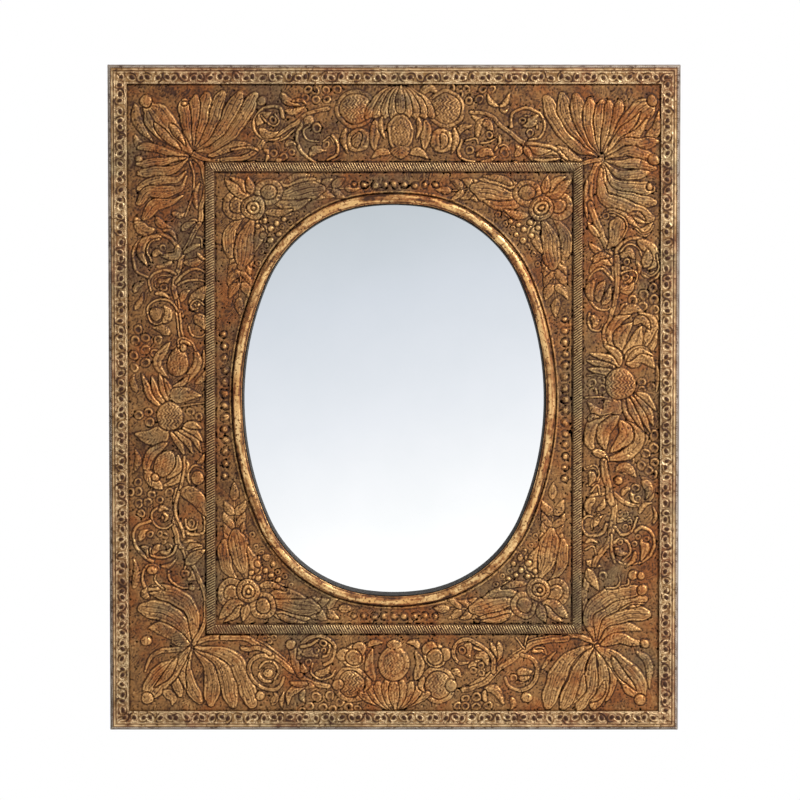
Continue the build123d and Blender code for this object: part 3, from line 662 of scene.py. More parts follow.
# Middle of the top.
use_sheet(300, 50, 7.84)
for hand in (1, -1):
    middle = 785
    fruit(middle + hand * 355, 455, 118, 150)
    disc(middle + hand * 325, 700, 92, 9, 2.4)
    leaf([(middle + hand * 325, 640), (middle + hand * 340, 700), (middle + hand * 320, 765)], 70)
    for foot, tip in ((60, 255), (45, 190), (30, 125), (15, 60)):
        lobe([(middle + hand * foot / 2, 270), (middle + hand * (foot + tip) / 2, 370),
              (middle + hand * tip, 515)], 84, 2.4)
    leaf([(middle + hand * 195, 545), (middle + hand * 200, 660), (middle + hand * 185, 800)],
         80, lines=1)
    leaf([(middle + hand * 140, 520), (middle + hand * 150, 600), (middle + hand * 125, 690)], 40)
    leaf([(middle + hand * 60, 800), (middle + hand * 150, 800), (middle + hand * 230, 850)], 60)
    leaf([(middle + hand * 420, 600), (middle + hand * 440, 700), (middle + hand * 400, 800)], 50)
lobe([(785, 265), (785, 360), (785, 490)], 76, 2.4)
seed_oval(785, 640, 100, 140, shell=0.22)
leaf([(785, 740), (785, 790), (785, 850)], 150, 2.4)

# Bottom border, left of the middle.
use_sheet(224, 628, 7)
stem([(-10, 62), (150, 72), (300, 160), (450, 270), (580, 372), (720, 408)], 38, taper=0.1)
stem([(340, 200), (250, 185), (182, 235), (172, 310), (235, 395), (330, 425), (392, 392),
      (412, 340)], 30)
stem([(320, 175), (240, 135), (170, 150), (130, 145)], 26, taper=-0.2)
stem([(250, 270), (290, 230), (350, 240), (375, 300), (350, 360)], 16)
leaf([(240, 300), (270, 350), (330, 380)], 50, 2.0)
fruit(308, 312, 34, 46)
leaf([(250, 60), (300, 60), (330, 100)], 40, 2.2)
rings(22, (280, 70), (318, 90), (350, 60))
stem([(520, 320), (498, 230), (488, 160), (468, 112)], 44, taper=-0.25)
stem([(525, 200), (545, 115), (620, 62), (705, 62), (772, 130), (762, 210), (705, 252)], 32)
stem([(540, 130), (600, 120), (660, 90), (730, 120), (725, 180), (690, 200)], 22, 2.4)
leaf([(540, 180), (600, 170), (660, 210)], 60, 2.2)
ring(688, 108, 28, 2.4)
rings(20, (640, 160), (690, 160))
leaf([(530, 300), (560, 270), (590, 220)], 62, 2.8)
ring(588, 240, 27, 2.4)
stem([(620, 250), (610, 310), (680, 360), (740, 340), (770, 290)], 17)
leaf([(640, 320), (700, 310), (740, 260)], 50, 2.0)
leaf([(640, 408), (540, 405), (455, 460), (440, 545)], 64, 2.4)
leaf([(580, 395), (510, 385), (455, 370)], 44, 2.2)
leaf([(560, 430), (540, 480), (560, 520)], 40, 2.0)
leaf([(330, 540), (360, 470), (340, 440)], 50, 1.6)
leaf([(400, 560), (400, 490), (420, 430)], 30, 1.6)
rings(34, (590, 552), (645, 482), (690, 556), (760, 570), (810, 522), (872, 556), (735, 475))
rings(26, (930, 560), (540, 580))
ball(250, 472, 33, 3.0)
ball(470, 112, 34, 2.6)

# Bottom border, right of the middle.
use_sheet(400, 628, 7)
stem([(1170, 68), (1040, 78), (940, 105), (850, 165), (740, 250), (640, 335), (560, 400),
      (445, 418)], 38, taper=0.1)
stem([(860, 175), (935, 205), (972, 285), (940, 382), (860, 430), (780, 415), (742, 350)], 30)
stem([(790, 330), (830, 380), (900, 360)], 18)
leaf([(820, 300), (880, 310), (940, 290)], 70, 2.8)
leaf([(830, 340), (880, 350), (930, 330)], 40, 2.4)
ring(800, 345, 25, 2.2)
ball(890, 482, 37, 3.0)
stem([(665, 300), (640, 200), (565, 112), (480, 68), (400, 105), (375, 180), (415, 240),
      (490, 240)], 32)
stem([(600, 220), (560, 150), (500, 110)], 22, 2.4)
leaf([(500, 90), (470, 150), (500, 200)], 56, 2.4)
ring(440, 152, 28, 2.4)
leaf([(520, 200), (580, 190), (620, 260)], 56, 2.2)
leaf([(490, 300), (540, 250), (600, 290)], 60, 2.5)
rings(24, (522, 296), (572, 312), (570, 258))
leaf([(690, 85), (705, 160), (675, 245)], 44, 2.4)
leaf([(640, 90), (660, 150), (680, 210)], 34, 2.2)
stem([(815, 55), (850, 110), (880, 130)], 13)
stem([(890, 55), (882, 110)], 15)
leaf([(930, 150), (1000, 140), (1035, 185)], 46, 2.4)
stem([(960, 130), (1010, 135), (1030, 180), (1000, 200)], 13)
leaf([(590, 420), (670, 430), (735, 530)], 66, 2.7)
leaf([(600, 430), (590, 480), (610, 520)], 34, 2.2)
rings(33, (460, 486), (540, 480), (406, 546), (466, 548), (541, 552), (618, 542))
leaf([(780, 480), (800, 530), (780, 570)], 40, 1.6)
leaf([(1000, 280), (1040, 220), (1100, 160)], 30, 1.5)
leaf([(360, 330), (400, 300), (440, 340)], 44, 2.0)

# Middle of the bottom.
use_sheet(300, 550, 7.84)
for hand in (1, -1):
    middle = 740
    fruit(middle + hand * 345, 1050, 104, 142)
    disc(middle + hand * 320, 825, 92, 9, 2.2)
    ball(middle + hand * 395, 815, 50, 2.6, dots=False)
    ball(middle + hand * 275, 770, 56, 2.8, dots=False)
    disc(middle + hand * 318, 835, 60, 5, 3.0)
    for foot, tip, top in ((70, 262, 1120), (55, 200, 1075), (35, 135, 1045), (20, 65, 1030)):
        lobe([(middle + hand * foot / 2, 1255), (middle + hand * (foot + tip) / 2, 1170),
              (middle + hand * tip, top)], 84, 2.4)
    leaf([(middle + hand * 165, 1020), (middle + hand * 200, 900), (middle + hand * 165, 770)],
         74, lines=1)
    leaf([(middle + hand * 200, 760), (middle + hand * 160, 720), (middle + hand * 90, 720)], 50)
    leaf([(middle + hand * 230, 990), (middle + hand * 210, 1060), (middle + hand * 240, 1110)],
         44)
for hand in (-1, 1):
    ball(740 + hand * 450, 1058, 46, 2.6, dots=False)
lobe([(740, 1258), (740, 1150), (740, 1025)], 76, 2.4)
seed_oval(735, 885, 125, 140, shell=0.3)
leaf([(740, 770), (740, 740), (740, 690)], 120, 2.4)

# Left side, over the fruit.
use_sheet(122, 222, 8)
stem([(620, 8), (560, 110), (500, 230), (458, 350), (430, 430), (418, 520), (432, 600),
      (465, 680), (480, 730)], 40, taper=0)
stem([(500, 240), (560, 130), (600, 70)], 15)
stem([(445, 270), (435, 180), (375, 110), (290, 92), (185, 110), (112, 190), (98, 290),
      (122, 385), (215, 430)], 26, taper=0.3)
leaf([(320, 105), (205, 140), (165, 240), (205, 345)], 84, 2.6, lines=2)
stem([(300, 125), (235, 150), (212, 220), (232, 300)], 14, 2.6)
leaf([(445, 170), (440, 260), (300, 250)], 60, 2.3)
leaf([(240, 260), (290, 220), (330, 250)], 44, 2.0)
ring(330, 190, 30)
leaf([(400, 300), (340, 340), (270, 330)], 44, 1.6)
stem([(425, 410), (350, 368), (262, 390), (222, 460), (240, 540)], 24)
stem([(380, 420), (320, 410), (270, 450), (280, 510)], 14)
leaf([(300, 440), (340, 470), (390, 440)], 50, 2.4)
ring(340, 508, 32, 2.4)
leaf([(270, 560), (330, 560), (380, 600)], 36, 1.7)
stem([(440, 475), (500, 400), (590, 362), (695, 400)], 28)
stem([(455, 490), (530, 450), (610, 450), (690, 480)], 18)
leaf([(560, 690), (600, 590), (685, 495)], 108, 2.9)
leaf([(470, 620), (500, 560), (550, 520)], 56, 2.0)
stem([(600, 700), (550, 690), (545, 645), (590, 640)], 16)
ring(568, 668, 24, 2.6)
leaf([(495, 320), (590, 310), (675, 240)], 64, 1.9)
leaf([(500, 240), (570, 190), (655, 165)], 44, 2.2)
leaf([(610, 220), (650, 270), (690, 280)], 36, 1.7)
ring(668, 138, 30)
stem([(600, 110), (640, 120), (650, 190)], 13)
leaf([(110, -20), (190, 50), (275, 40)], 90, 2.3)
leaf([(330, 60), (400, 70), (440, 150)], 36, 1.6)
leaf([(480, 60), (520, 20), (590, -10)], 50, 1.9)
leaf([(100, 560), (130, 500), (190, 470)], 46, 1.3)
leaf([(110, 690), (150, 620), (170, 560)], 40, 1.3)

# Left side, under the fruit.
use_sheet(122, 490, 8)
stem([(440, -10), (430, 100), (428, 190), (412, 270), (430, 350), (450, 420), (540, 560),
      (604, 688), (654, 813), (664, 1000), (616, 1137), (572, 1225)], 36, taper=-0.1)
stem([(470, 470), (505, 540), (500, 620)], 18)
stem([(385, 140), (320, 120), (245, 160), (232, 230), (275, 290), (340, 303), (400, 265)], 20)
fruit(340, 205, 38, 50)
leaf([(320, 160), (350, 200), (330, 250)], 40, 3.4)
stem([(430, 225), (480, 308), (560, 345), (650, 330), (662, 250), (640, 190)], 26)
stem([(500, 230), (515, 295), (580, 305), (605, 250), (560, 212)], 15)
ring(550, 262, 34, 2.4)
stem([(215, 238), (130, 268), (85, 350), (110, 435), (180, 520), (250, 560)], 26, taper=0.1)
leaf([(140, 400), (170, 340), (240, 330)], 60, 2.4)
ring(218, 346, 27, 2.6)
leaf([(150, 440), (200, 470), (210, 530)], 44, 2.0)
stem([(225, 460), (240, 510), (310, 530), (395, 500), (432, 430)], 26)
leaf([(245, 500), (270, 450), (300, 430)], 50, 2.3)
rings(28, (330, 402), (375, 440), (345, 360), (300, 350))
leaf([(300, 480), (350, 490), (390, 450)], 36, 2.0)
leaf([(505, 580), (590, 510), (668, 470)], 84, 2.8)
leaf([(500, 470), (560, 430), (640, 440)], 46, 1.9)
leaf([(480, 400), (540, 390), (600, 410)], 30, 1.5)
leaf([(300, 600), (370, 590), (430, 540)], 36, 1.5)

# Right side, over the fruit.
use_sheet(566, 205, 8)
stem([(185, -20), (230, 100), (268, 200), (305, 300), (372, 430), (400, 560), (402, 700)], 50,
     taper=0.1)
blades(52, 2.2, [(300, 400), (240, 350), (175, 290)], [(335, 470), (250, 420), (175, 420)],
       [(365, 540), (280, 490), (205, 520)], [(260, 240), (210, 190), (170, 120)])
lobe([(330, 340), (385, 250), (420, 110)], 140, 2.6, 2.5)
stem([(290, 60), (380, 50), (460, 100), (482, 180), (420, 275)], 14, 2.6)
ring(318, 78, 30)
leaf([(558, 190), (625, 205), (685, 125)], 86, 2.8)
stem([(550, 170), (600, 225), (665, 205), (692, 150)], 13)
leaf([(480, 60), (560, 60), (630, 110)], 34, 1.6)
stem([(405, 450), (400, 350), (465, 275), (560, 258), (665, 290), (730, 370), (752, 480),
      (725, 565), (655, 600)], 30)
leaf([(560, 272), (668, 340), (712, 440), (640, 515)], 104, 2.8, lines=2)
leaf([(425, 410), (490, 360), (550, 430)], 66, 2.4)
stem([(430, 360), (480, 310), (560, 320), (600, 400)], 17)
ring(480, 440, 28, 2.4)
leaf([(590, 520), (640, 560), (700, 520)], 40, 2.0)
leaf([(560, 440), (580, 500), (560, 560)], 36, 1.7)
leaf([(430, 480), (490, 500), (540, 540)], 40, 1.8)

# Right side, under the fruit.
use_sheet(566, 460, 8)
stem([(295, -10), (320, 100), (342, 200), (370, 300), (386, 400), (382, 470), (365, 560),
      (335, 650), (262, 760), (230, 830)], 50, taper=0.15)
stem([(365, 590), (370, 700), (395, 810)], 26, taper=0)
stem([(385, 265), (450, 318), (560, 352), (655, 322), (705, 240), (680, 160), (605, 128)], 34)
leaf([(600, 150), (665, 210), (640, 300)], 84, 2.5)
leaf([(520, 250), (550, 300), (600, 330)], 56, 2.5)
leaf([(440, 280), (480, 230), (540, 220)], 46, 2.0)
ring(556, 210, 30, 2.4)
ring(572, 290, 22, 2.4)
fruit(414, 146, 28, 38)
leaf([(440, 90), (500, 80), (560, 110)], 44, 2.0)
stem([(150, 55), (235, 60), (272, 130), (240, 190), (170, 190)], 22)
leaf([(165, 100), (210, 130), (190, 170)], 56, 2.3)
stem([(300, 265), (210, 275), (155, 345), (150, 440)], 26)
leaf([(230, 290), (180, 350), (200, 430)], 70, 2.5, lines=2)
stem([(335, 510), (300, 570), (220, 598), (150, 560), (130, 490), (170, 440), (235, 452)], 26)
stem([(270, 430), (215, 480), (215, 550)], 15)
leaf([(230, 530), (260, 470), (300, 440)], 50, 2.0)
leaf([(250, 400), (290, 360), (310, 300)], 44, 1.8)
stem([(392, 515), (450, 580), (530, 555), (575, 455)], 26)
leaf([(410, 480), (450, 450), (520, 450)], 60, 2.4)
rings(24, (476, 522), (476, 420), (515, 482), (430, 420))
leaf([(590, 420), (630, 350), (700, 330)], 40, 1.5)
stem([(560, 560), (610, 525), (680, 560), (712, 650), (682, 760), (590, 815)], 30)
leaf([(610, 620), (640, 700), (610, 800)], 76, 2.8, lines=2)
rings(24, (582, 606), (650, 622), (555, 660))
stem([(390, 640), (445, 615), (512, 650), (522, 725), (455, 795)], 24)
leaf([(400, 680), (450, 740), (500, 740)], 60, 2.4)
ring(446, 642, 24, 2.4)
leaf([(560, 720), (540, 790), (480, 850)], 40, 1.9)
stem([(160, 700), (220, 680), (250, 740)], 15)
leaf([(150, 650), (200, 630), (260, 650)], 36, 1.7)
leaf([(700, 500), (720, 420), (700, 350)], 30, 1.2)

# Fruit half way up the left side: two split pomegranates, petals and a berry.
use_sheet(122, 300, 7)
rings(33, (170, 250), (255, 265), (165, 330), (225, 355), (90, 370), (165, 420), (90, 460),
      (95, 265), (115, 190))
rings(31, (120, 790), (185, 775), (190, 845), (480, 770), (540, 805), (110, 1265), (115, 1325),
      (205, 1345), (265, 1385), (330, 1340), (120, 1405), (130, 1475), (180, 1400), (60, 1330))
stem([(390, -20), (405, 40), (418, 120), (420, 200), (438, 265)], 15, taper=0)
stem([(372, -10), (385, 60), (398, 120), (400, 200), (400, 280)], 13, taper=0)
stem([(400, 60), (330, -5), (250, -15), (190, 30), (178, 90), (210, 145), (270, 150),
      (320, 110)], 16)
ball(240, 85, 44, 2.6)
leaf([(290, 150), (335, 90), (300, 25)], 62, 2.0)
leaf([(330, 240), (290, 190), (220, 180)], 60, 1.7)
stem([(575, 20), (520, -10), (480, 20), (490, 55), (530, 50)], 16)
stem([(470, 165), (490, 225), (550, 245), (590, 220)], 15)
leaf([(500, 90), (560, 130), (585, 200)], 74, 2.4)
leaf([(540, 480), (575, 420), (570, 330)], 40, 1.5)
leaf([(520, 570), (560, 540), (585, 480)], 40, 1.5)
blades(66, 2.6, [(345, 298), (258, 380), (255, 460), (335, 540)],
       [(520, 330), (530, 430), (450, 540), (350, 605)])
blades(40, 2.0, [(470, 500), (430, 560), (350, 600)])
seed_oval(393, 422, 74, 98, 20)
leaf([(395, 330), (440, 275), (515, 320)], 54, 2.4)
stem([(400, 320), (395, 280), (430, 258), (490, 280), (522, 345)], 15)
ball(438, 330, 26, 3.0)
blades(52, 2.6, [(275, 738), (195, 650), (146, 500)], [(300, 722), (240, 620), (205, 525)],
       [(325, 705), (290, 600), (258, 500)], [(347, 695), (340, 620), (300, 535)])
leaf([(345, 665), (450, 645), (562, 655)], 112, 2.5, blunt=0.55)
stem([(420, 735), (500, 715), (575, 715)], 10)
leaf([(325, 905), (215, 945), (92, 925)], 128, 2.5, blunt=0.6)
leaf([(95, 640), (80, 560), (95, 500)], 50, 1.2)
blades(48, 2.6, [(340, 905), (395, 985), (440, 1078)], [(365, 900), (450, 970), (500, 1062)],
       [(395, 892), (500, 950), (562, 1060)], [(420, 878), (500, 905), (568, 985)],
       [(430, 865), (490, 860), (560, 890)])
blades(66, 2.6, [(322, 985), (205, 1060), (172, 1150), (205, 1235)],
       [(440, 1078), (440, 1180), (350, 1265), (270, 1295)],
       [(395, 1070), (385, 1170), (310, 1240)])
seed_oval(298, 1132, 70, 94, 25)
leaf([(165, 1185), (220, 1250), (285, 1315)], 88, 2.3)
ball(235, 1225, 26, 3.0)
leaf([(90, 1180), (110, 1100), (95, 1030)], 50, 1.3)
leaf([(520, 1140), (560, 1110), (580, 1060)], 36, 1.4)
stem([(440, 1085), (428, 1230), (398, 1330), (375, 1440), (378, 1510), (405, 1560),
      (425, 1640)], 20, taper=0)
stem([(570, 1160), (505, 1150), (465, 1200), (468, 1260), (508, 1312), (568, 1322)], 15)
ball(530, 1232, 46, 2.8)
leaf([(405, 1325), (520, 1370), (585, 1510)], 116, 2.4)
leaf([(250, 1470), (280, 1440), (330, 1450)], 36, 1.8)
ball(335, 800, 96, 3.8)

# Fruit half way up the right side.
use_sheet(580, 250, 6.4)
rings(32, (460, 232), (465, 305), (470, 370), (468, 434), (400, 275), (395, 345), (330, 312),
      (285, 358), (480, 1175), (410, 1200), (480, 1248), (372, 1280), (426, 1282), (315, 1332),
      (393, 1367), (480, 1340), (468, 1424), (440, 1400))
rings(29, (135, 825), (75, 842), (142, 880), (400, 830), (460, 862), (400, 885), (85, 900))
scroll(312, 178, 72, 150, 420, 15)
leaf([(250, 215), (300, 250), (345, 205)], 56, 2.3)
leaf([(60, 130), (130, 60), (210, 90)], 62, 2.0)
leaf([(75, 70), (130, 30), (205, 40)], 46, 1.9)
stem([(210, 190), (160, 118), (85, 125), (48, 200), (52, 300), (100, 362), (175, 372),
      (205, 330)], 17)
blades(60, 2.3, [(70, 320), (60, 240), (110, 170)], [(110, 330), (120, 260), (165, 190)])
leaf([(130, 345), (170, 300), (195, 220)], 44, 2.0)
leaf([(400, 110), (430, 50), (425, -20)], 66, 2.6)
stem([(490, 20), (500, 110), (450, 160), (400, 140)], 14)
stem([(60, 390), (45, 450), (70, 505), (120, 510), (140, 470)], 15)
leaf([(75, 400), (90, 450), (70, 495)], 50, 2.3)
stem([(232, 40), (240, 130), (238, 220), (215, 330), (195, 420), (160, 500), (158, 570),
      (200, 625)], 32, taper=0.1)
leaf([(250, 440), (330, 360), (420, 400)], 60, 2.0)
blades(74, 2.7, [(262, 650), (205, 560), (232, 450), (330, 400)],
       [(370, 385), (452, 440), (440, 560), (300, 668)])
blades(86, 3.0, [(268, 640), (255, 540), (340, 452)], [(272, 655), (350, 590), (392, 478)])
leaf([(340, 470), (390, 430), (440, 500)], 50, 2.5)
leaf([(400, 650), (460, 600), (490, 500)], 42, 1.5)
leaf([(250, 740), (235, 690), (260, 640)], 46, 2.0)
leaf([(300, 720), (390, 660), (482, 745)], 118, 2.6, blunt=0.55)
leaf([(300, 705), (380, 640), (470, 665)], 40, 2.0)
blades(50, 2.6, [(255, 745), (190, 690), (60, 640)], [(240, 760), (150, 725), (45, 690)],
       [(225, 775), (140, 765), (48, 745)], [(258, 735), (235, 660), (150, 590)])
stem([(40, 790), (100, 790), (160, 800)], 11)
leaf([(245, 935), (150, 1050), (48, 960)], 132, 2.6, blunt=0.55)
stem([(40, 930), (120, 925), (200, 940)], 12)
leaf([(490, 720), (500, 800), (495, 900)], 30, 1.2)
blades(50, 2.7, [(275, 935), (310, 1040), (345, 1125)], [(300, 930), (350, 1040), (405, 1150)],
       [(325, 925), (400, 1030), (452, 1165)], [(345, 915), (430, 1000), (480, 1120)],
       [(360, 900), (440, 940), (490, 1020)])
blades(78, 2.7, [(215, 1040), (82, 1120), (62, 1215), (110, 1300)],
       [(290, 1080), (375, 1190), (310, 1290), (150, 1330)])
blades(92, 3.0, [(245, 1040), (150, 1150), (160, 1270)], [(255, 1070), (290, 1180), (190, 1285)])
leaf([(75, 1275), (135, 1290), (185, 1335)], 50, 2.4)
leaf([(60, 1090), (80, 1060), (130, 1055)], 34, 1.6)
leaf([(225, 1400), (290, 1380), (360, 1440)], 66, 2.0)
ball(243, 1462, 27, 2.8)
stem([(150, 1335), (166, 1400), (180, 1500), (198, 1610)], 40, taper=0)
stem([(45, 1380), (100, 1365), (130, 1420), (110, 1470)], 15)
leaf([(55, 1410), (80, 1450), (60, 1500)], 50, 2.2)
stem([(70, 1540), (110, 1500), (130, 1560)], 14)
ball(262, 845, 97, 3.8)

# Corners of the inner sheet: a rosette between ribbed petals, two leafy sprays and ring flowers.
for x, y, flip_x, flip_y in ((248, 589, 1, 1), (539, 589, -1, 1), (254, 206, 1, -1),
                             (541, 207, -1, -1)):
    use_sheet(x, y, 5.227, flip_x, flip_y)
    spray([(-60, -230), (-70, -330), (-74, -470)], 4, 96, 46)
    spray([(300, 85), (380, 98), (470, 98)], 3, 84, 42)
    flutes((74, (-55, -45), (-118, -130), (-125, -250)),
           (104, (-10, -60), (-40, -160), (-62, -300)),
           (104, (100, 62), (200, 70), (345, 98)),
           height=2.3, lines=2.5)
    blades(52, 2.0, [(10, -55), (34, -140), (-4, -235)], [(100, 30), (200, 12), (300, 40)],
           [(110, 112), (210, 142), (330, 150)])
    stem([(30, -70), (66, -110), (62, -175)], 13)
    stem([(100, -35), (140, -50), (190, -30)], 13)
    for dx, dy, size in ((56, -70, 15), (50, -142, 17), (89, -110, 15), (95, -172, 17),
                         (17, -97, 14), (120, -84, 14), (130, -140, 13), (160, -60, 13)):
        ball(dx, dy, size, 2.5, dots=False)
    rings(14, (72, -200), (150, -100), (190, -75), (225, -30), (40, -235), (20, -290))
    leaf([(60, -30), (130, -30), (200, -5)], 40, 1.8)
    disc(-86, 14, 76, 18)
    disc(-86, 14, 40, 10, 2.4)
    disc(76, 80, 70, 18)
    ball(76, 80, 38, 2.8)
    leaf([(-20, 60), (-90, 90), (-155, 148)], 60, 2.3)
    leaf([(-40, 80), (-70, 130), (-130, 160)], 36, 1.8)
    leaf([(-5, 75), (-20, 120), (-35, 168)], 50, 2.1)
    leaf([(150, 130), (230, 160), (310, 168)], 36, 1.6)
    ball(0, 0, 62, 3.4)
    disc(0, 0, 34, 6, 3.3)
    ball(0, 0, 12, 3.8)


def bead(x, y, size):
    """A round bead in a punched hollow, dented where it is worn."""
    at, across, down = patch(np.array([(x, y)]), size)
    off_x, off_y = across - x, down - y
    reach = np.hypot(off_x, off_y) / size
    dome = 0.68                         # its share of the hollow
    form = np.where(reach < dome, 2.1 * np.sqrt(np.clip(1 - (reach / dome) ** 2, 0, 1)), -0.25)
    form -= 0.7 * np.exp(-((off_x + (0.2 + 0.2 * sin(x * y)) * size) ** 2
                           + (off_y - 0.3 * size * cos(x + y)) ** 2) / (0.3 * size) ** 2)
    lay(at, size * (1 - reach), form)


# Beads: a row over and under the oval, a column at each side.
for i in range(9):
    for y in (183.3, 615.2):
        bead(394.5 + 10.2 * (i - 4), y, 4.2 - 0.07 * (i - 4) ** 2)
for x, y, count, pitch in ((224.8, 403.5, 13, 11.75), (564.9, 397.8, 15, 11.4)):
    for i in range(count):
        step = i - (count - 1) / 2
        bead(x + 0.4 * sin(3.1 * i), y + pitch * step, 4.4 - 0.02 * step ** 2)

# ---- embossed sheets: the tin ------------------------------------------------------------------
# The border sheet and the inner sheet lie on the pine and the panel, and meet under the corded
# strip.  Old gilding over red-brown bole is rubbed bright on the high parts and dark in the lines,
# with a painted highlight on the high parts and painted shade in the lines and hollows.
metre = 0.001
stock, sheet_face = 24.0, 24.5          # face of the pine, and of the tin on it, above its back
border_x, border_z = 284.5, 335.5       # outer edge of the border
strip_x, strip_z = 201.5, 252.5         # outer edge of the corded strip
seam_x, seam_z = 196.25, 247.25         # where the two sheets meet
inner_x, inner_z = 191.0, 242.0         # inner edge of the corded strip


def soften(field, spread):
    """A field blurred both ways."""
    reach = np.arange(-int(3 * spread), int(3 * spread) + 1)
    weights = np.exp(-0.5 * (reach / spread) ** 2)
    weights /= weights.sum()
    for axis in (0, 1):
        padded = np.pad(field, [(len(reach) // 2,) * 2 if i == axis else (0, 0) for i in (0, 1)],
                        mode="edge")
        field = sum(w * np.take(padded, range(i, i + field.shape[axis]), axis)
                    for i, w in enumerate(weights))
    return field


# The oval's sight line, drawn with three radii.
side_radius, shoulder_radius, crown_radius = 320.0, 135.0, 220.0
sight_x, crown_top, sight_z = 161.7, 209.3, -1.6        # its half width, half height and middle
side_x, crown_z = sight_x - side_radius, crown_top - crown_radius
to_side, to_crown = side_radius - shoulder_radius, crown_radius - shoulder_radius
span = (side_x ** 2 + crown_z ** 2) ** 0.5
first_turn = atan2(crown_z, -side_x) + acos((to_side ** 2 + span ** 2 - to_crown ** 2)
                                            / (2 * to_side * span))
shoulder_x, shoulder_z = side_x + to_side * cos(first_turn), to_side * sin(first_turn)
second_turn = atan2(shoulder_z - crown_z, shoulder_x)


def past_sight(x, z):
    """How far places lie outside the oval's sight line."""
    x, z = abs(x), abs(z - sight_z)
    return np.where(
        np.arctan2(z, x - side_x) < first_turn, np.hypot(x - side_x, z) - side_radius,
        np.where(np.arctan2(z - crown_z, x) > second_turn,
                 np.hypot(x, z - crown_z) - crown_radius,
                 np.hypot(x - shoulder_x, z - shoulder_z) - shoulder_radius))


chance = np.random.default_rng(11)
pit_count = 7000


def drifting(spread):
    """A smooth random field about 1 high."""
    field = soften(chance.normal(size=relief.shape), spread)
    return field / field.std()


def sample(field, u, v):
    """Values of a field between its points, u columns across and v rows down."""
    i, j = u.astype(int), v.astype(int)
    u, v = u - i, v - j
    return ((1 - v) * ((1 - u) * field[j, i] + u * field[j, i + 1])
            + v * ((1 - u) * field[j + 1, i] + u * field[j + 1, i + 1]))


# By hand the lines wander, and the sheet comes out uneven, grained by the tool and pitted.
wobble_x, wobble_y = 0.9 * drifting(7.0), 0.9 * drifting(7.0)
across, down = np.meshgrid(np.arange(len(columns)), np.arange(len(rows)))
relief = sample(relief, np.clip(across + wobble_x, 0, len(columns) - 1.001),
                np.clip(down + wobble_y, 0, len(rows) - 1.001))
relief += 0.12 * drifting(1.1)
swirl = columns + 0.6 * rows[:, None] + 3.4 * drifting(6.0)
relief += 0.24 * np.cos(swirl * 2 * pi / 2.9) * np.clip(0.3 + 0.5 * drifting(4.0), 0, 1)
pits = np.zeros(relief.shape)
pits[chance.integers(0, len(rows), pit_count), chance.integers(0, len(columns), pit_count)] = 1
relief -= np.clip(4.0 * soften(pits, 0.8), 0, 1.1)

# The sheets dip where the rim and the strips press on them, and swell round the oval with a dip
# beside the half-round; through the hollow values each dip also paints a line of shade.
across, down = np.meshgrid((columns - middle_x) * unit, (middle_y - rows) * unit)
for edge_x, edge_z, offset, deep in ((border_x, border_z, -0.7, 0.3),
                                     (strip_x, strip_z, 0.7, 0.6), (inner_x, inner_z, -0.7, 0.6)):
    edge = np.maximum(abs(across) - edge_x, abs(down) - edge_z)
    relief -= deep * np.exp(-((edge - offset) / 0.8) ** 2)
beyond = past_sight(across, down)
relief += 1.2 * np.exp(-((beyond - 13.4) / 1.1) ** 2) - 0.8 * np.exp(-((beyond - 11.6) / 0.8) ** 2)

# Soot and painted shade lie in the lines, and a painted highlight on the ridges; painted shade
# darkens the ground between the forms, more of it towards the top and the left.
ground = np.clip(1.3 - soften(relief, 0.9), 0, 1)
hollow = np.clip(0.55 + 0.45 * np.tanh((soften(relief, 1.3) - relief) / 0.42)
                 + (soften(relief, 4.0) - relief) / 14.0 + 0.1 * ground
                 + 0.06 * down / border_z - 0.02 * across / border_x, 0, 1)


def lookup(field, x, z):
    """Values of a field at places in millimetres from the middle of the frame."""
    return sample(field, (x / unit + middle_x - columns[0]) / cell,
                  (middle_y - z / unit - rows[0]) / cell)


def new_grid(name, across, up):
    """A flat grid to be shaped, and its points from 0 to 1 both ways."""
    bpy.ops.object.select_all(action="DESELECT")
    bpy.ops.mesh.primitive_grid_add(x_subdivisions=across, y_subdivisions=up, size=1)
    piece = bpy.context.object
    piece.name = piece.data.name = name
    places = np.empty(len(piece.data.vertices) * 3)
    piece.data.vertices.foreach_get("co", places)
    places = places.reshape(-1, 3)
    return piece, places[:, 0] + 0.5, places[:, 1] + 0.5


def shape(piece, x, depth, z, **notes):
    """Moves a grid's points into place, in millimetres, and notes values from 0 to 1 at them."""
    piece.data.vertices.foreach_set("co", np.stack((x, -depth, z), 1).ravel() * metre)
    for name, values in notes.items():
        note = piece.data.attributes.new(name, "FLOAT", "POINT")
        note.data.foreach_set("value", np.clip(values, 0, 1) * np.ones(len(x)))
    piece.data.update()


def close_mesh(piece):
    """Joins the doubled points of a rolled-up grid, caps its open ends and turns its faces out."""
    mesh = bmesh.new()
    mesh.from_mesh(piece.data)
    bmesh.ops.remove_doubles(mesh, verts=mesh.verts, dist=0.02 * metre)
    ends = [edge for edge in mesh.edges if edge.is_boundary]
    if ends:
        bmesh.ops.holes_fill(mesh, edges=ends, sides=0)
    bmesh.ops.recalc_face_normals(mesh, faces=mesh.faces)
    mesh.to_mesh(piece.data)
    mesh.free()


def set_smooth(piece, material, body="frame"):
    """Smooth shading, the finish and the body of a piece."""
    piece.data.shade_smooth()
    piece.data.materials.append(material)
    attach(piece, body)


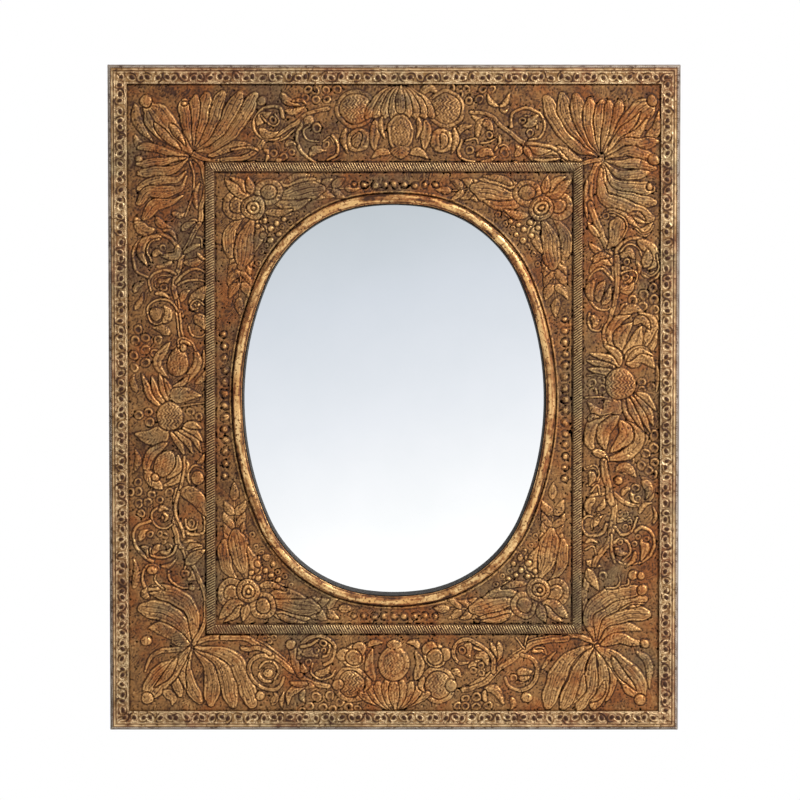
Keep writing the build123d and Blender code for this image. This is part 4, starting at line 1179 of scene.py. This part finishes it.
gilding, given = new_group(
    "rubbed gilding and painted light", {"Place": Vector((0, 0, 0)), "Hollow": 0.5, "Bare": 0.0, "Film": 0.55,
                       "Gold": (0.76, 0.425, 0.16, 1.0), "Rust": (0.58, 0.25, 0.07, 1.0),
                       "Ochre": (0.28, 0.132, 0.040, 1.0), "Bole": (0.27, 0.086, 0.018, 1.0),
                       "Soot_and_shade": (0.044, 0.014, 0.004, 1.0),
                       "Verdigris": (0.094, 0.082, 0.046, 1.0)},
    ("Color", "Roughness", "Metallic", "Height"))
cloud = noise(gilding, given["Place"], 15.0, 5.0, 0.6)
fleck = noise(gilding, given["Place"], 170.0, 5.0, 0.6)
mottle = noise(gilding, given["Place"], 48.0, 5.0, 0.62)
streak = noise(gilding, given["Place"], 27.0, 4.0, 0.6)
pit = ramp(gilding, noise(gilding, given["Place"], 330.0, 1.5), (0.36, 0.0), (0.41, 1.0))
low = math(gilding, "ADD", given["Hollow"], math(gilding, "MULTIPLY_ADD", fleck, 0.7, -0.35))
low = math(gilding, "ADD", low, math(gilding, "MULTIPLY_ADD", mottle, 0.9, -0.45))
shade = math(gilding, "MULTIPLY", math(gilding, "SUBTRACT", 1.0, low),
             math(gilding, "MULTIPLY_ADD", pit, 0.7, 0.3))


def filmed(tone, film_tone, bare_tone, *film_stops):
    """A tone under patches of verdigris, or scoured bare."""
    film = math(gilding, "MULTIPLY", given["Film"], ramp(gilding, cloud, *film_stops))
    return blend_colour(gilding, given["Bare"], blend_colour(gilding, film, tone, film_tone),
                        bare_tone)


body_tone = blend_colour(gilding, ramp(gilding, streak, (0.46, 0.0), (0.62, 1.0)),
                         given["Ochre"], given["Bole"])
body_tone = filmed(body_tone, given["Verdigris"], (0.20, 0.165, 0.135, 1.0), (0.51, 0.0),
                   (0.63, 1.0))
leaf_tone = blend_colour(gilding, ramp(gilding, streak, (0.45, 0.0), (0.62, 0.8)),
                         given["Gold"], given["Rust"])
leaf_tone = filmed(leaf_tone, (0.30, 0.25, 0.12, 1.0), (0.76, 0.70, 0.64, 1.0), (0.50, 0.0),
                   (0.64, 0.9))
# Where the hollow value is high the tone sinks to soot: soot and painted shade in the lines.
tone = blend_colour(gilding, ramp(gilding, shade, (0.08, 0.0), (0.46, 1.0)), given["Soot_and_shade"],
                    body_tone)
# Where it is low the gold shows: gilding rubbed bright, with a painted highlight on high parts.
shine = math(gilding, "MULTIPLY", ramp(gilding, shade, (0.54, 0.0), (0.95, 1.0)),
             math(gilding, "MULTIPLY_ADD", mottle, 1.1, 0.45))
shine = math(gilding, "MINIMUM", shine, 1.0)
add_node(gilding, "NodeGroupOutput", {
    "Color": blend_colour(gilding, shine, tone, leaf_tone),
    "Roughness": math(gilding, "MULTIPLY_ADD", shine, -0.25, 0.62),
    "Metallic": math(gilding, "MULTIPLY_ADD", shine, 0.5, 0.15),
    "Height": math(gilding, "ADD", fleck, mottle)})


def gilded(name, **tones):
    """Metal or wood under rubbed gilt with painted highlight and painted shade, following the
    hollow and bare values of a piece.
    """
    material, tree, shader, place = new_material(name, (0.3, 0.16, 0.06, 1), 0.5, 0.4)
    inputs = {label.capitalize(): value for label, value in tones.items()}
    for label in ("Hollow", "Bare"):
        inputs[label] = add_node(tree, "Attribute", attribute_name=label.lower()).outputs["Fac"]
    finish = add_node(tree, "Group", {"Place": place, **inputs}, node_tree=gilding).outputs
    feed(tree, shader, {"Base Color": finish["Color"], "Roughness": finish["Roughness"],
                        "Metallic": finish["Metallic"]})
    add_bump(tree, shader, finish["Height"], 0.35, 0.0004)
    return material


gilt_tin = gilded("gilded tin")
grid_pitch = 0.72
hole_x, hole_z, hole_squareness = 165.0, 212.6, 2.25        # a little outside the sight line


def tin_sheet(name, low_x, high_x, low_z, high_z, pierced=False):
    """Part of an embossed sheet, closed at its back, outside the oval hole where it has one."""
    piece, u, v = new_grid(name, int((high_x - low_x) / grid_pitch),
                           int((high_z - low_z) / grid_pitch))
    x, z = low_x + u * (high_x - low_x), low_z + v * (high_z - low_z)
    shape(piece, x, sheet_face + lookup(relief, x, z), z, hollow=lookup(hollow, x, z))
    mesh = bmesh.new()
    mesh.from_mesh(piece.data)
    if pierced:
        inside = [vert for vert in mesh.verts
                  if abs(vert.co.x / metre / hole_x) ** hole_squareness
                  + abs((vert.co.z / metre - sight_z) / hole_z) ** hole_squareness < 1]
        bmesh.ops.delete(mesh, geom=inside, context="VERTS")
    # Each corner of the rim leads to the next, counter to the walls that drop from it.
    leads = {}
    for edge in mesh.edges:
        if edge.is_boundary:
            corner = edge.link_loops[0]
            leads[corner.vert] = corner.link_loop_next.vert
    rim = [min(leads, key=lambda vert: (vert.co.x, vert.co.z))]
    while len(rim) < len(leads):
        rim.append(leads[rim[-1]])
    foot = [mesh.verts.new((vert.co.x, -stock * metre, vert.co.z), vert) for vert in rim]
    for i in range(len(rim)):
        mesh.faces.new((rim[i], rim[i - 1], foot[i - 1], foot[i]))
    mesh.faces.new(foot[::-1])
    bmesh.ops.recalc_face_normals(mesh, faces=mesh.faces)
    mesh.to_mesh(piece.data)
    mesh.free()
    set_smooth(piece, gilt_tin)
    return piece


for name, low_x, high_x, low_z, high_z in (
        ("border_top", -border_x, border_x, seam_z, border_z),
        ("border_bottom", -border_x, border_x, -border_z, -seam_z),
        ("border_left", -border_x, -seam_x, -seam_z, seam_z),
        ("border_right", seam_x, border_x, -seam_z, seam_z)):
    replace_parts(tin_sheet(name, low_x, high_x, low_z, high_z), "frieze_sheet")
for name, low_z, high_z in (("inner_sheet_upper", sight_z, seam_z),
                            ("inner_sheet_lower", -seam_z, sight_z)):
    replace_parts(tin_sheet(name, -seam_x, seam_x, low_z, high_z, pierced=True), "panel_sheet")

# ---- D-rings -----------------------------------------------------------------------------------
# Zinced steel wire, bent to a D through the folded loop of each strap, with its ends butted inside
# the loop.  A ring swings on its straight bar, from flat on the strap to standing over it.
bar_half, bend, bow, wire = 9.4, 2.6, 12.0, 1.75    # half length, and three radii
bow_drop = 4.0
bar_out, bar_z, foot_out = 3.25, 176, 1.2           # behind the frame, up it, and the foot's lean


def wire_ring(name, middle):
    """A D-shaped ring of round wire, hanging from its bar, with its foot a little further out."""
    half = [(s, 0.0) for s in np.linspace(0, bar_half, 5)[:-1]]
    half += [(bar_half + bend * sin(a), bend - bend * cos(a)) for a in np.linspace(0, pi / 2, 7)]
    half += [(bow * cos(a), bow_drop + bow * sin(a)) for a in np.linspace(0, pi / 2, 17)]
    path = np.array(half + [(-s, drop) for s, drop in half[-2:0:-1]])
    along = np.roll(path, -1, 0) - np.roll(path, 1, 0)
    along /= np.hypot(*along.T)[:, None]
    piece, u, v = new_grid(name, len(path), 14)
    i, turn = np.round(u * len(path)).astype(int) % len(path), v * 2 * pi
    s = path[i, 0] + wire * np.cos(turn) * along[i, 1]
    drop = path[i, 1] - wire * np.cos(turn) * along[i, 0]
    out = wire * np.sin(turn)
    tilt = asin(foot_out / (bow_drop + bow))
    shape(piece, middle + s, -(bar_out + drop * sin(tilt) + out * cos(tilt)),
          bar_z - drop * cos(tilt) + out * sin(tilt))
    close_mesh(piece)
    return piece


for side, middle in (("left", -250), ("right", 250)):
    piece = wire_ring("d_ring_" + side, middle)
    set_smooth(piece, zinced_steel, "ring_" + side)
    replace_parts(piece, "hanger_ring_" + side)

# ---- corded strips -----------------------------------------------------------------------------
# Half-round strips, milled with slanting cuts between two fine borders, mitred at the corners and
# nailed over the seam of the two sheets.
half_width, half_height = 305.0, 356.0
directions = {"top": ((1, 0), (0, 1)), "bottom": ((-1, 0), (0, -1)),    # along and outwards
              "left": ((0, 1), (-1, 0)), "right": ((0, -1), (1, 0))}
level_sides = ("top", "bottom")


def mitred_strip(name, side, profile, pitch, carve):
    """A closed strip along one side, from points of (inset, depth), with carved points."""
    (ax, az), (ox, oz) = directions[side]
    half_length, half_span = half_width, half_height
    if side not in level_sides:
        half_length, half_span = half_height, half_width
    profile = np.array(profile)
    piece, u, v = new_grid(name, int(2 * half_length / pitch), len(profile))
    k = np.round(v * len(profile)).astype(int) % len(profile)
    inset, depth = profile[k].T
    along = (2 * u - 1) * (half_length - inset)
    tangent = np.roll(profile, -1, 0) - np.roll(profile, 1, 0)
    tangent = (tangent / np.hypot(*tangent.T)[:, None])[k]
    x, z = ax * along + ox * (half_span - inset), az * along + oz * (half_span - inset)
    rise, hollows, bare = carve(along, inset, depth, x, z)
    inset = inset + rise * tangent[:, 1]
    depth = depth - rise * tangent[:, 0]
    shape(piece, ax * along + ox * (half_span - inset), depth,
          az * along + oz * (half_span - inset), hollow=hollows, bare=bare)
    close_mesh(piece)
    return piece


strip_middle, strip_half = 108.75, 5.25     # from the frame's edge
cord_pitch = 2.75
cord_lean = {"top": 0.55, "bottom": 0.55, "left": -0.55, "right": -0.7}


def milled(side):
    """The cuts of a corded strip."""
    def carve(along, inset, depth, x, z):
        q = (inset - strip_middle) / strip_half
        way = x + cord_lean[side] * z if side in level_sides else z + cord_lean[side] * x
        cut = np.cos(way * 2 * pi / cord_pitch)
        bars = abs(q) < 0.74
        rise = np.where(bars, 0.5 * cut - 0.1, 0.15)
        rise -= 0.5 * np.exp(-((abs(q) - 0.78) / 0.07) ** 2)
        top = depth > sheet_face + 0.2
        # The raised bars are rubbed bright with a painted highlight; the cuts and borders hold
        # painted shade.
        hollows = np.where(bars, 0.52 - 0.85 * cut, 0.4) + 0.4 * (abs(q) > 0.95)
        return rise * top, hollows, 0.0
    return carve


gilt_strip = gilded("gilded strip", gold=(0.58, 0.38, 0.17, 1), rust=(0.48, 0.28, 0.11, 1),
                    ochre=(0.17, 0.09, 0.033, 1), bole=(0.16, 0.055, 0.02, 1))
section = [(strip_middle - strip_half * cos(radians(a)), sheet_face + 0.7 + 2.6 * sin(radians(a)))
           for a in np.linspace(0, 180, 21)]
section += [(strip_middle + across, sheet_face + 0.05) for across in (strip_half, 0, -strip_half)]
for side in directions:
    piece = mitred_strip("corded_strip_" + side, side, section, 0.58, milled(side))
    set_smooth(piece, gilt_strip)
    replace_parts(piece, "rope_" + side)

# ---- punched rim -------------------------------------------------------------------------------
# A tin strip on each side, folded over the pine's edge: a corded shoulder outside, then a ridge, a
# row of punched rings between two ridges, and the step down to the border.
rim_face, fold_radius = 27.8, 6.5
wall = [(0.0, d) for d in np.linspace(1.6, rim_face - fold_radius, 9)[:-1]]
turn = [(fold_radius - fold_radius * cos(a), rim_face - fold_radius + fold_radius * sin(a))
        for a in np.radians(np.linspace(0, 90, 15))]
face = [(e, rim_face) for e in np.linspace(fold_radius, 20.3, 23)[1:]]
step = [(20.5, d) for d in (27.4, 26.6, 25.6, 24.6)]
back = [(20.0, 24.6), (20.0, 27.2), (7.0, 27.2), (2.4, 25.4), (0.6, 21.0), (0.6, 1.6)]
shoulder_pitch, ring_pitch = 2.4, 9.3


def punched(along, inset, depth, x, z):
    """The cord, the ridges and the rings of the rim."""
    front = depth > rim_face - fold_radius
    cord = np.cos((along + 1.2 * depth) * 2 * pi / shoulder_pitch)
    fold = front & (inset < 3.3)
    rise = np.where(fold, 0.42 * cord, 0.0)
    rise += front * (0.4 * np.exp(-((inset - 5.2) / 0.8) ** 2)
                     - 0.6 * np.exp(-((inset - 3.6) / 0.45) ** 2)
                     - 0.6 * np.exp(-((inset - 6.8) / 0.5) ** 2))
    flat = (depth > rim_face - 0.01) & (inset >= fold_radius)
    ridge = np.exp(-((inset - 7.9) / 0.6) ** 2) + np.exp(-((inset - 19.4) / 0.7) ** 2)
    spot = np.round(along / ring_pitch) * ring_pitch
    middle = 13.7 + 0.8 * np.sin(spot * 1.7)
    slip = along - spot - 1.6 * np.sin(spot * 0.9)
    turn = np.arctan2(inset - middle, slip)
    reach = np.hypot(slip, inset - middle) * (1 + 0.16 * np.sin(2 * turn + spot))
    opening = 0.5 + 0.5 * np.cos(turn - spot * 2.3)
    rings = (1.0 - 0.9 * opening) * np.exp(-((reach - 3.2) / 0.7) ** 2)
    rings -= 1.2 * np.exp(-((reach - 0.8) / 1.3) ** 2)
    rings -= 1.1 * opening ** 3 * np.exp(-((reach - 4.9) / 0.8) ** 2)
    rings += 0.25 * np.cos(1.9 * along + 2.5 * np.sin(1.3 * inset)) * np.sin(2.3 * inset + along)
    rise = rise + flat * (0.75 * ridge + rings)
    # Ridges and the rings' raised arcs are rubbed bright with a painted highlight, and the holes
    # and the cord's cuts hold painted shade; the tin is painted a little darker towards the top,
    # the step down to the border a little darker and the hidden back much darker, as shade.
    hollows = np.where(flat, 0.45 - 0.8 * rise, 0.48 - 0.6 * rise) + 0.03 * z / half_height
    hollows = np.where(fold, 0.36 - 0.75 * cord, hollows)
    hollows = np.where((inset > 0.3) & ~front, 0.8, np.where(inset > 20.4, 0.55, hollows))
    bare = np.where(inset < 3.5, np.where(front, 0.75, 0.25), 0.0)
    return rise * (depth > 20) * (inset < 20.4), hollows, bare


gilt_rim = gilded("gilded rim", film=0.4, gold=(0.95, 0.70, 0.40, 1), rust=(0.80, 0.52, 0.26, 1),
                  ochre=(0.27, 0.14, 0.046, 1), bole=(0.19, 0.07, 0.024, 1),
                  verdigris=(0.11, 0.10, 0.055, 1))
for side in directions:
    piece = mitred_strip("punched_rim_" + side, side, wall + turn + face + step + back, 0.62,
                         punched)
    set_smooth(piece, gilt_rim)
    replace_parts(piece, "rim_" + side)


# ---- oval moulding and its liner ---------------------------------------------------------------
# A gilded half-round bent round the oval, with a groove and a fillet towards the glass, and the
# black-stained lining of the panel's hole inside it.
def oval_line(offset, count):
    """Points and outward directions of the three-radius oval, outside its sight line."""
    heading = (np.arange(count) + 0.5) * 2 * pi / count
    fold = np.arcsin(abs(np.sin(heading)))
    on_side, on_crown = fold < first_turn, fold > second_turn
    radius = np.where(on_side, side_radius, np.where(on_crown, crown_radius, shoulder_radius))
    centre_x = np.where(on_side, side_x, np.where(on_crown, 0, shoulder_x))
    centre_z = np.where(on_side, 0, np.where(on_crown, crown_z, shoulder_z))
    way = np.stack((np.cos(heading), np.sin(heading)), 1)
    centre = np.stack((centre_x * np.sign(way[:, 0]), centre_z * np.sign(way[:, 1]) + sight_z), 1)
    return centre + way * (radius + offset)[:, None], way


turns, around = 1300, 22
bowed = 0.7                     # share of the way round the section that is the half-round
moulding_middle, moulding_half = 6.0, 5.0
groove_at, fillet_at = 138, 146         # degrees round the half-round, from its outer edge
piece, u, v = new_grid("oval_half_round", turns, around)
line, way = oval_line(moulding_middle, turns)
i = np.round(u * turns).astype(int) % turns
on_bow = v < bowed
angle = np.where(on_bow, v / bowed * 180, 180)
crest = np.sin(np.radians(angle)) * on_bow
groove = np.exp(-((angle - groove_at) / 7) ** 2) * on_bow
sway = np.sin(i * 2 * pi * 7 / turns) + np.sin(i * 2 * pi * 19 / turns + 1)
width = np.where(on_bow, moulding_half * np.cos(np.radians(angle)),
                 moulding_half * (2 * (v - bowed) / (1 - bowed) - 1))
lift = np.where(crest < 0.01, 0.05,
                crest ** 0.8 * (4.3 + 0.12 * sway) + 1.4 - 0.7 * groove)
spot = line[i] + way[i] * (width + 0.12 * sway)[:, None]
wear = soften(chance.normal(size=(turns, around + 1)), 0.8)
wear = sum(np.roll(wear, k, 0) for k in range(-9, 10)) + 3.0 * wear
wear = wear[i, np.round(v * around).astype(int)] / wear.std()
# The crest is rubbed bright with a painted highlight along it, the groove holds painted shade, the
# wear varies at random, and the fillet by the glass keeps a middle tone.
hollows = np.where((angle > fillet_at) & on_bow, 0.42 + 0.2 * wear,
                   0.88 - 0.64 * crest ** 1.2 + 0.27 * wear + 0.55 * groove)
shape(piece, spot[:, 0], sheet_face + lift, spot[:, 1], hollow=hollows)
close_mesh(piece)
gilt_round = gilded("gilded half-round", film=0.1, gold=(0.87, 0.57, 0.25, 1),
                    rust=(0.74, 0.38, 0.115, 1), ochre=(0.36, 0.16, 0.047, 1),
                    bole=(0.26, 0.080, 0.021, 1))
set_smooth(piece, gilt_round)
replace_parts(piece, "oval_moulding")

ebony, tree, shader, place = new_material("black-stained wood", (0.02, 0.017, 0.014, 1), 0.7)
feed(tree, shader, {"Specular IOR Level": 0.15,
                    "Base Color": ramp(tree, noise(tree, place, 120.0, 4.0),
                                       (0.35, (0.008, 0.006, 0.005, 1)),
                                       (0.7, (0.030, 0.024, 0.018, 1)))})
finish_node("sight_liner", ebony)

# ---- studio ------------------------------------------------------------------------------------
# A white floor and white surroundings.  Behind the camera stands a pale screen, darker towards its
# top, that the glass and the gilding reflect.
def seen_directly(tree):
    """1 for the rays of the camera, of mirrors and of glass, 0 for those that light the scene."""
    ray = add_node(tree, "LightPath").outputs
    return math(tree, "MAXIMUM", math(tree, "MAXIMUM", ray["Is Camera Ray"],
                                      ray["Is Glossy Ray"]), ray["Is Transmission Ray"])


bpy.ops.object.select_all(action="DESELECT")
bpy.ops.mesh.primitive_plane_add(size=14, location=(0, 0, -0.62))
floor = bpy.context.object
floor.name = "floor"
white, tree, shader, _ = new_material("white floor", (0.9, 0.9, 0.9, 1), 0.9)
glow = add_node(tree, "Emission", {"Color": (1, 1, 1, 1), "Strength": 1.0})
mixed = add_node(tree, "MixShader", {"Fac": seen_directly(tree), 1: shader.outputs[0],
                                     2: glow.outputs[0]})
feed(tree, tree.nodes["Material Output"], {"Surface": mixed.outputs[0]})
floor.data.materials.append(white)

bpy.ops.mesh.primitive_plane_add(size=2.4, location=(0, -3.6, 0.0), rotation=(radians(-90), 0, 0))
screen = bpy.context.object
screen.name = "screen"
pale, tree, _, place = new_material("pale screen", (0.9, 0.9, 0.9, 1), 0.9)
spot = add_node(tree, "SeparateXYZ", {"Vector": place}).outputs
way = math(tree, "ADD", spot["Y"], math(tree, "MULTIPLY", spot["X"], 0.2))
tones = ramp(tree, math(tree, "MULTIPLY_ADD", way, 0.8, 0.5),
             (0.1, (0.48, 0.53, 0.55, 1)), (0.42, (0.72, 0.76, 0.82, 1)),
             (0.65, (0.875, 0.90, 0.945, 1)), (0.9, (1.1, 1.1, 1.1, 1)))
glow = add_node(tree, "Emission", {"Color": tones, "Strength": 1.0})
feed(tree, tree.nodes["Material Output"], {"Surface": glow.outputs[0]})
screen.data.materials.append(pale)
screen.visible_camera = False

world = bpy.data.worlds.new("studio")
bpy.context.scene.world = world
world.use_nodes = True
tree = world.node_tree
strength = math(tree, "MULTIPLY_ADD", seen_directly(tree), 0.76, 0.24)
feed(tree, tree.nodes["Background"], {"Color": (1, 1, 1, 1), "Strength": strength})


def soft_light(name, place, aim, size, power):
    """A square soft light."""
    lamp = bpy.data.lights.new(name, "AREA")
    lamp.size, lamp.energy = size, power
    light = bpy.data.objects.new(name, lamp)
    bpy.context.scene.collection.objects.link(light)
    light.location = place
    light.rotation_euler = (Vector(aim) - Vector(place)).to_track_quat("-Z", "Y").to_euler()


soft_light("key", (1.9, -1.9, 1.55), (0, 0, 0), 0.6, 88)
soft_light("fill", (-1.1, -1.5, -1.15), (0, 0, 0), 1.0, 23)
soft_light("back", (0.9, 2.6, 1.3), (0, 0, 0), 1.2, 52)

camera = bpy.data.objects.new("camera", bpy.data.cameras.new("camera"))
bpy.context.scene.collection.objects.link(camera)
camera.location = (0.0064, -3.0, 0.126)
camera.data.lens, camera.data.sensor_width = 125.3, 36      # millimetres
aim = Vector((0.0064, -0.025, -0.0012))
camera.rotation_euler = (aim - camera.location).to_track_quat("-Z", "Y").to_euler()
bpy.context.scene.camera = camera
bpy.context.scene.view_settings.view_transform = "Standard"
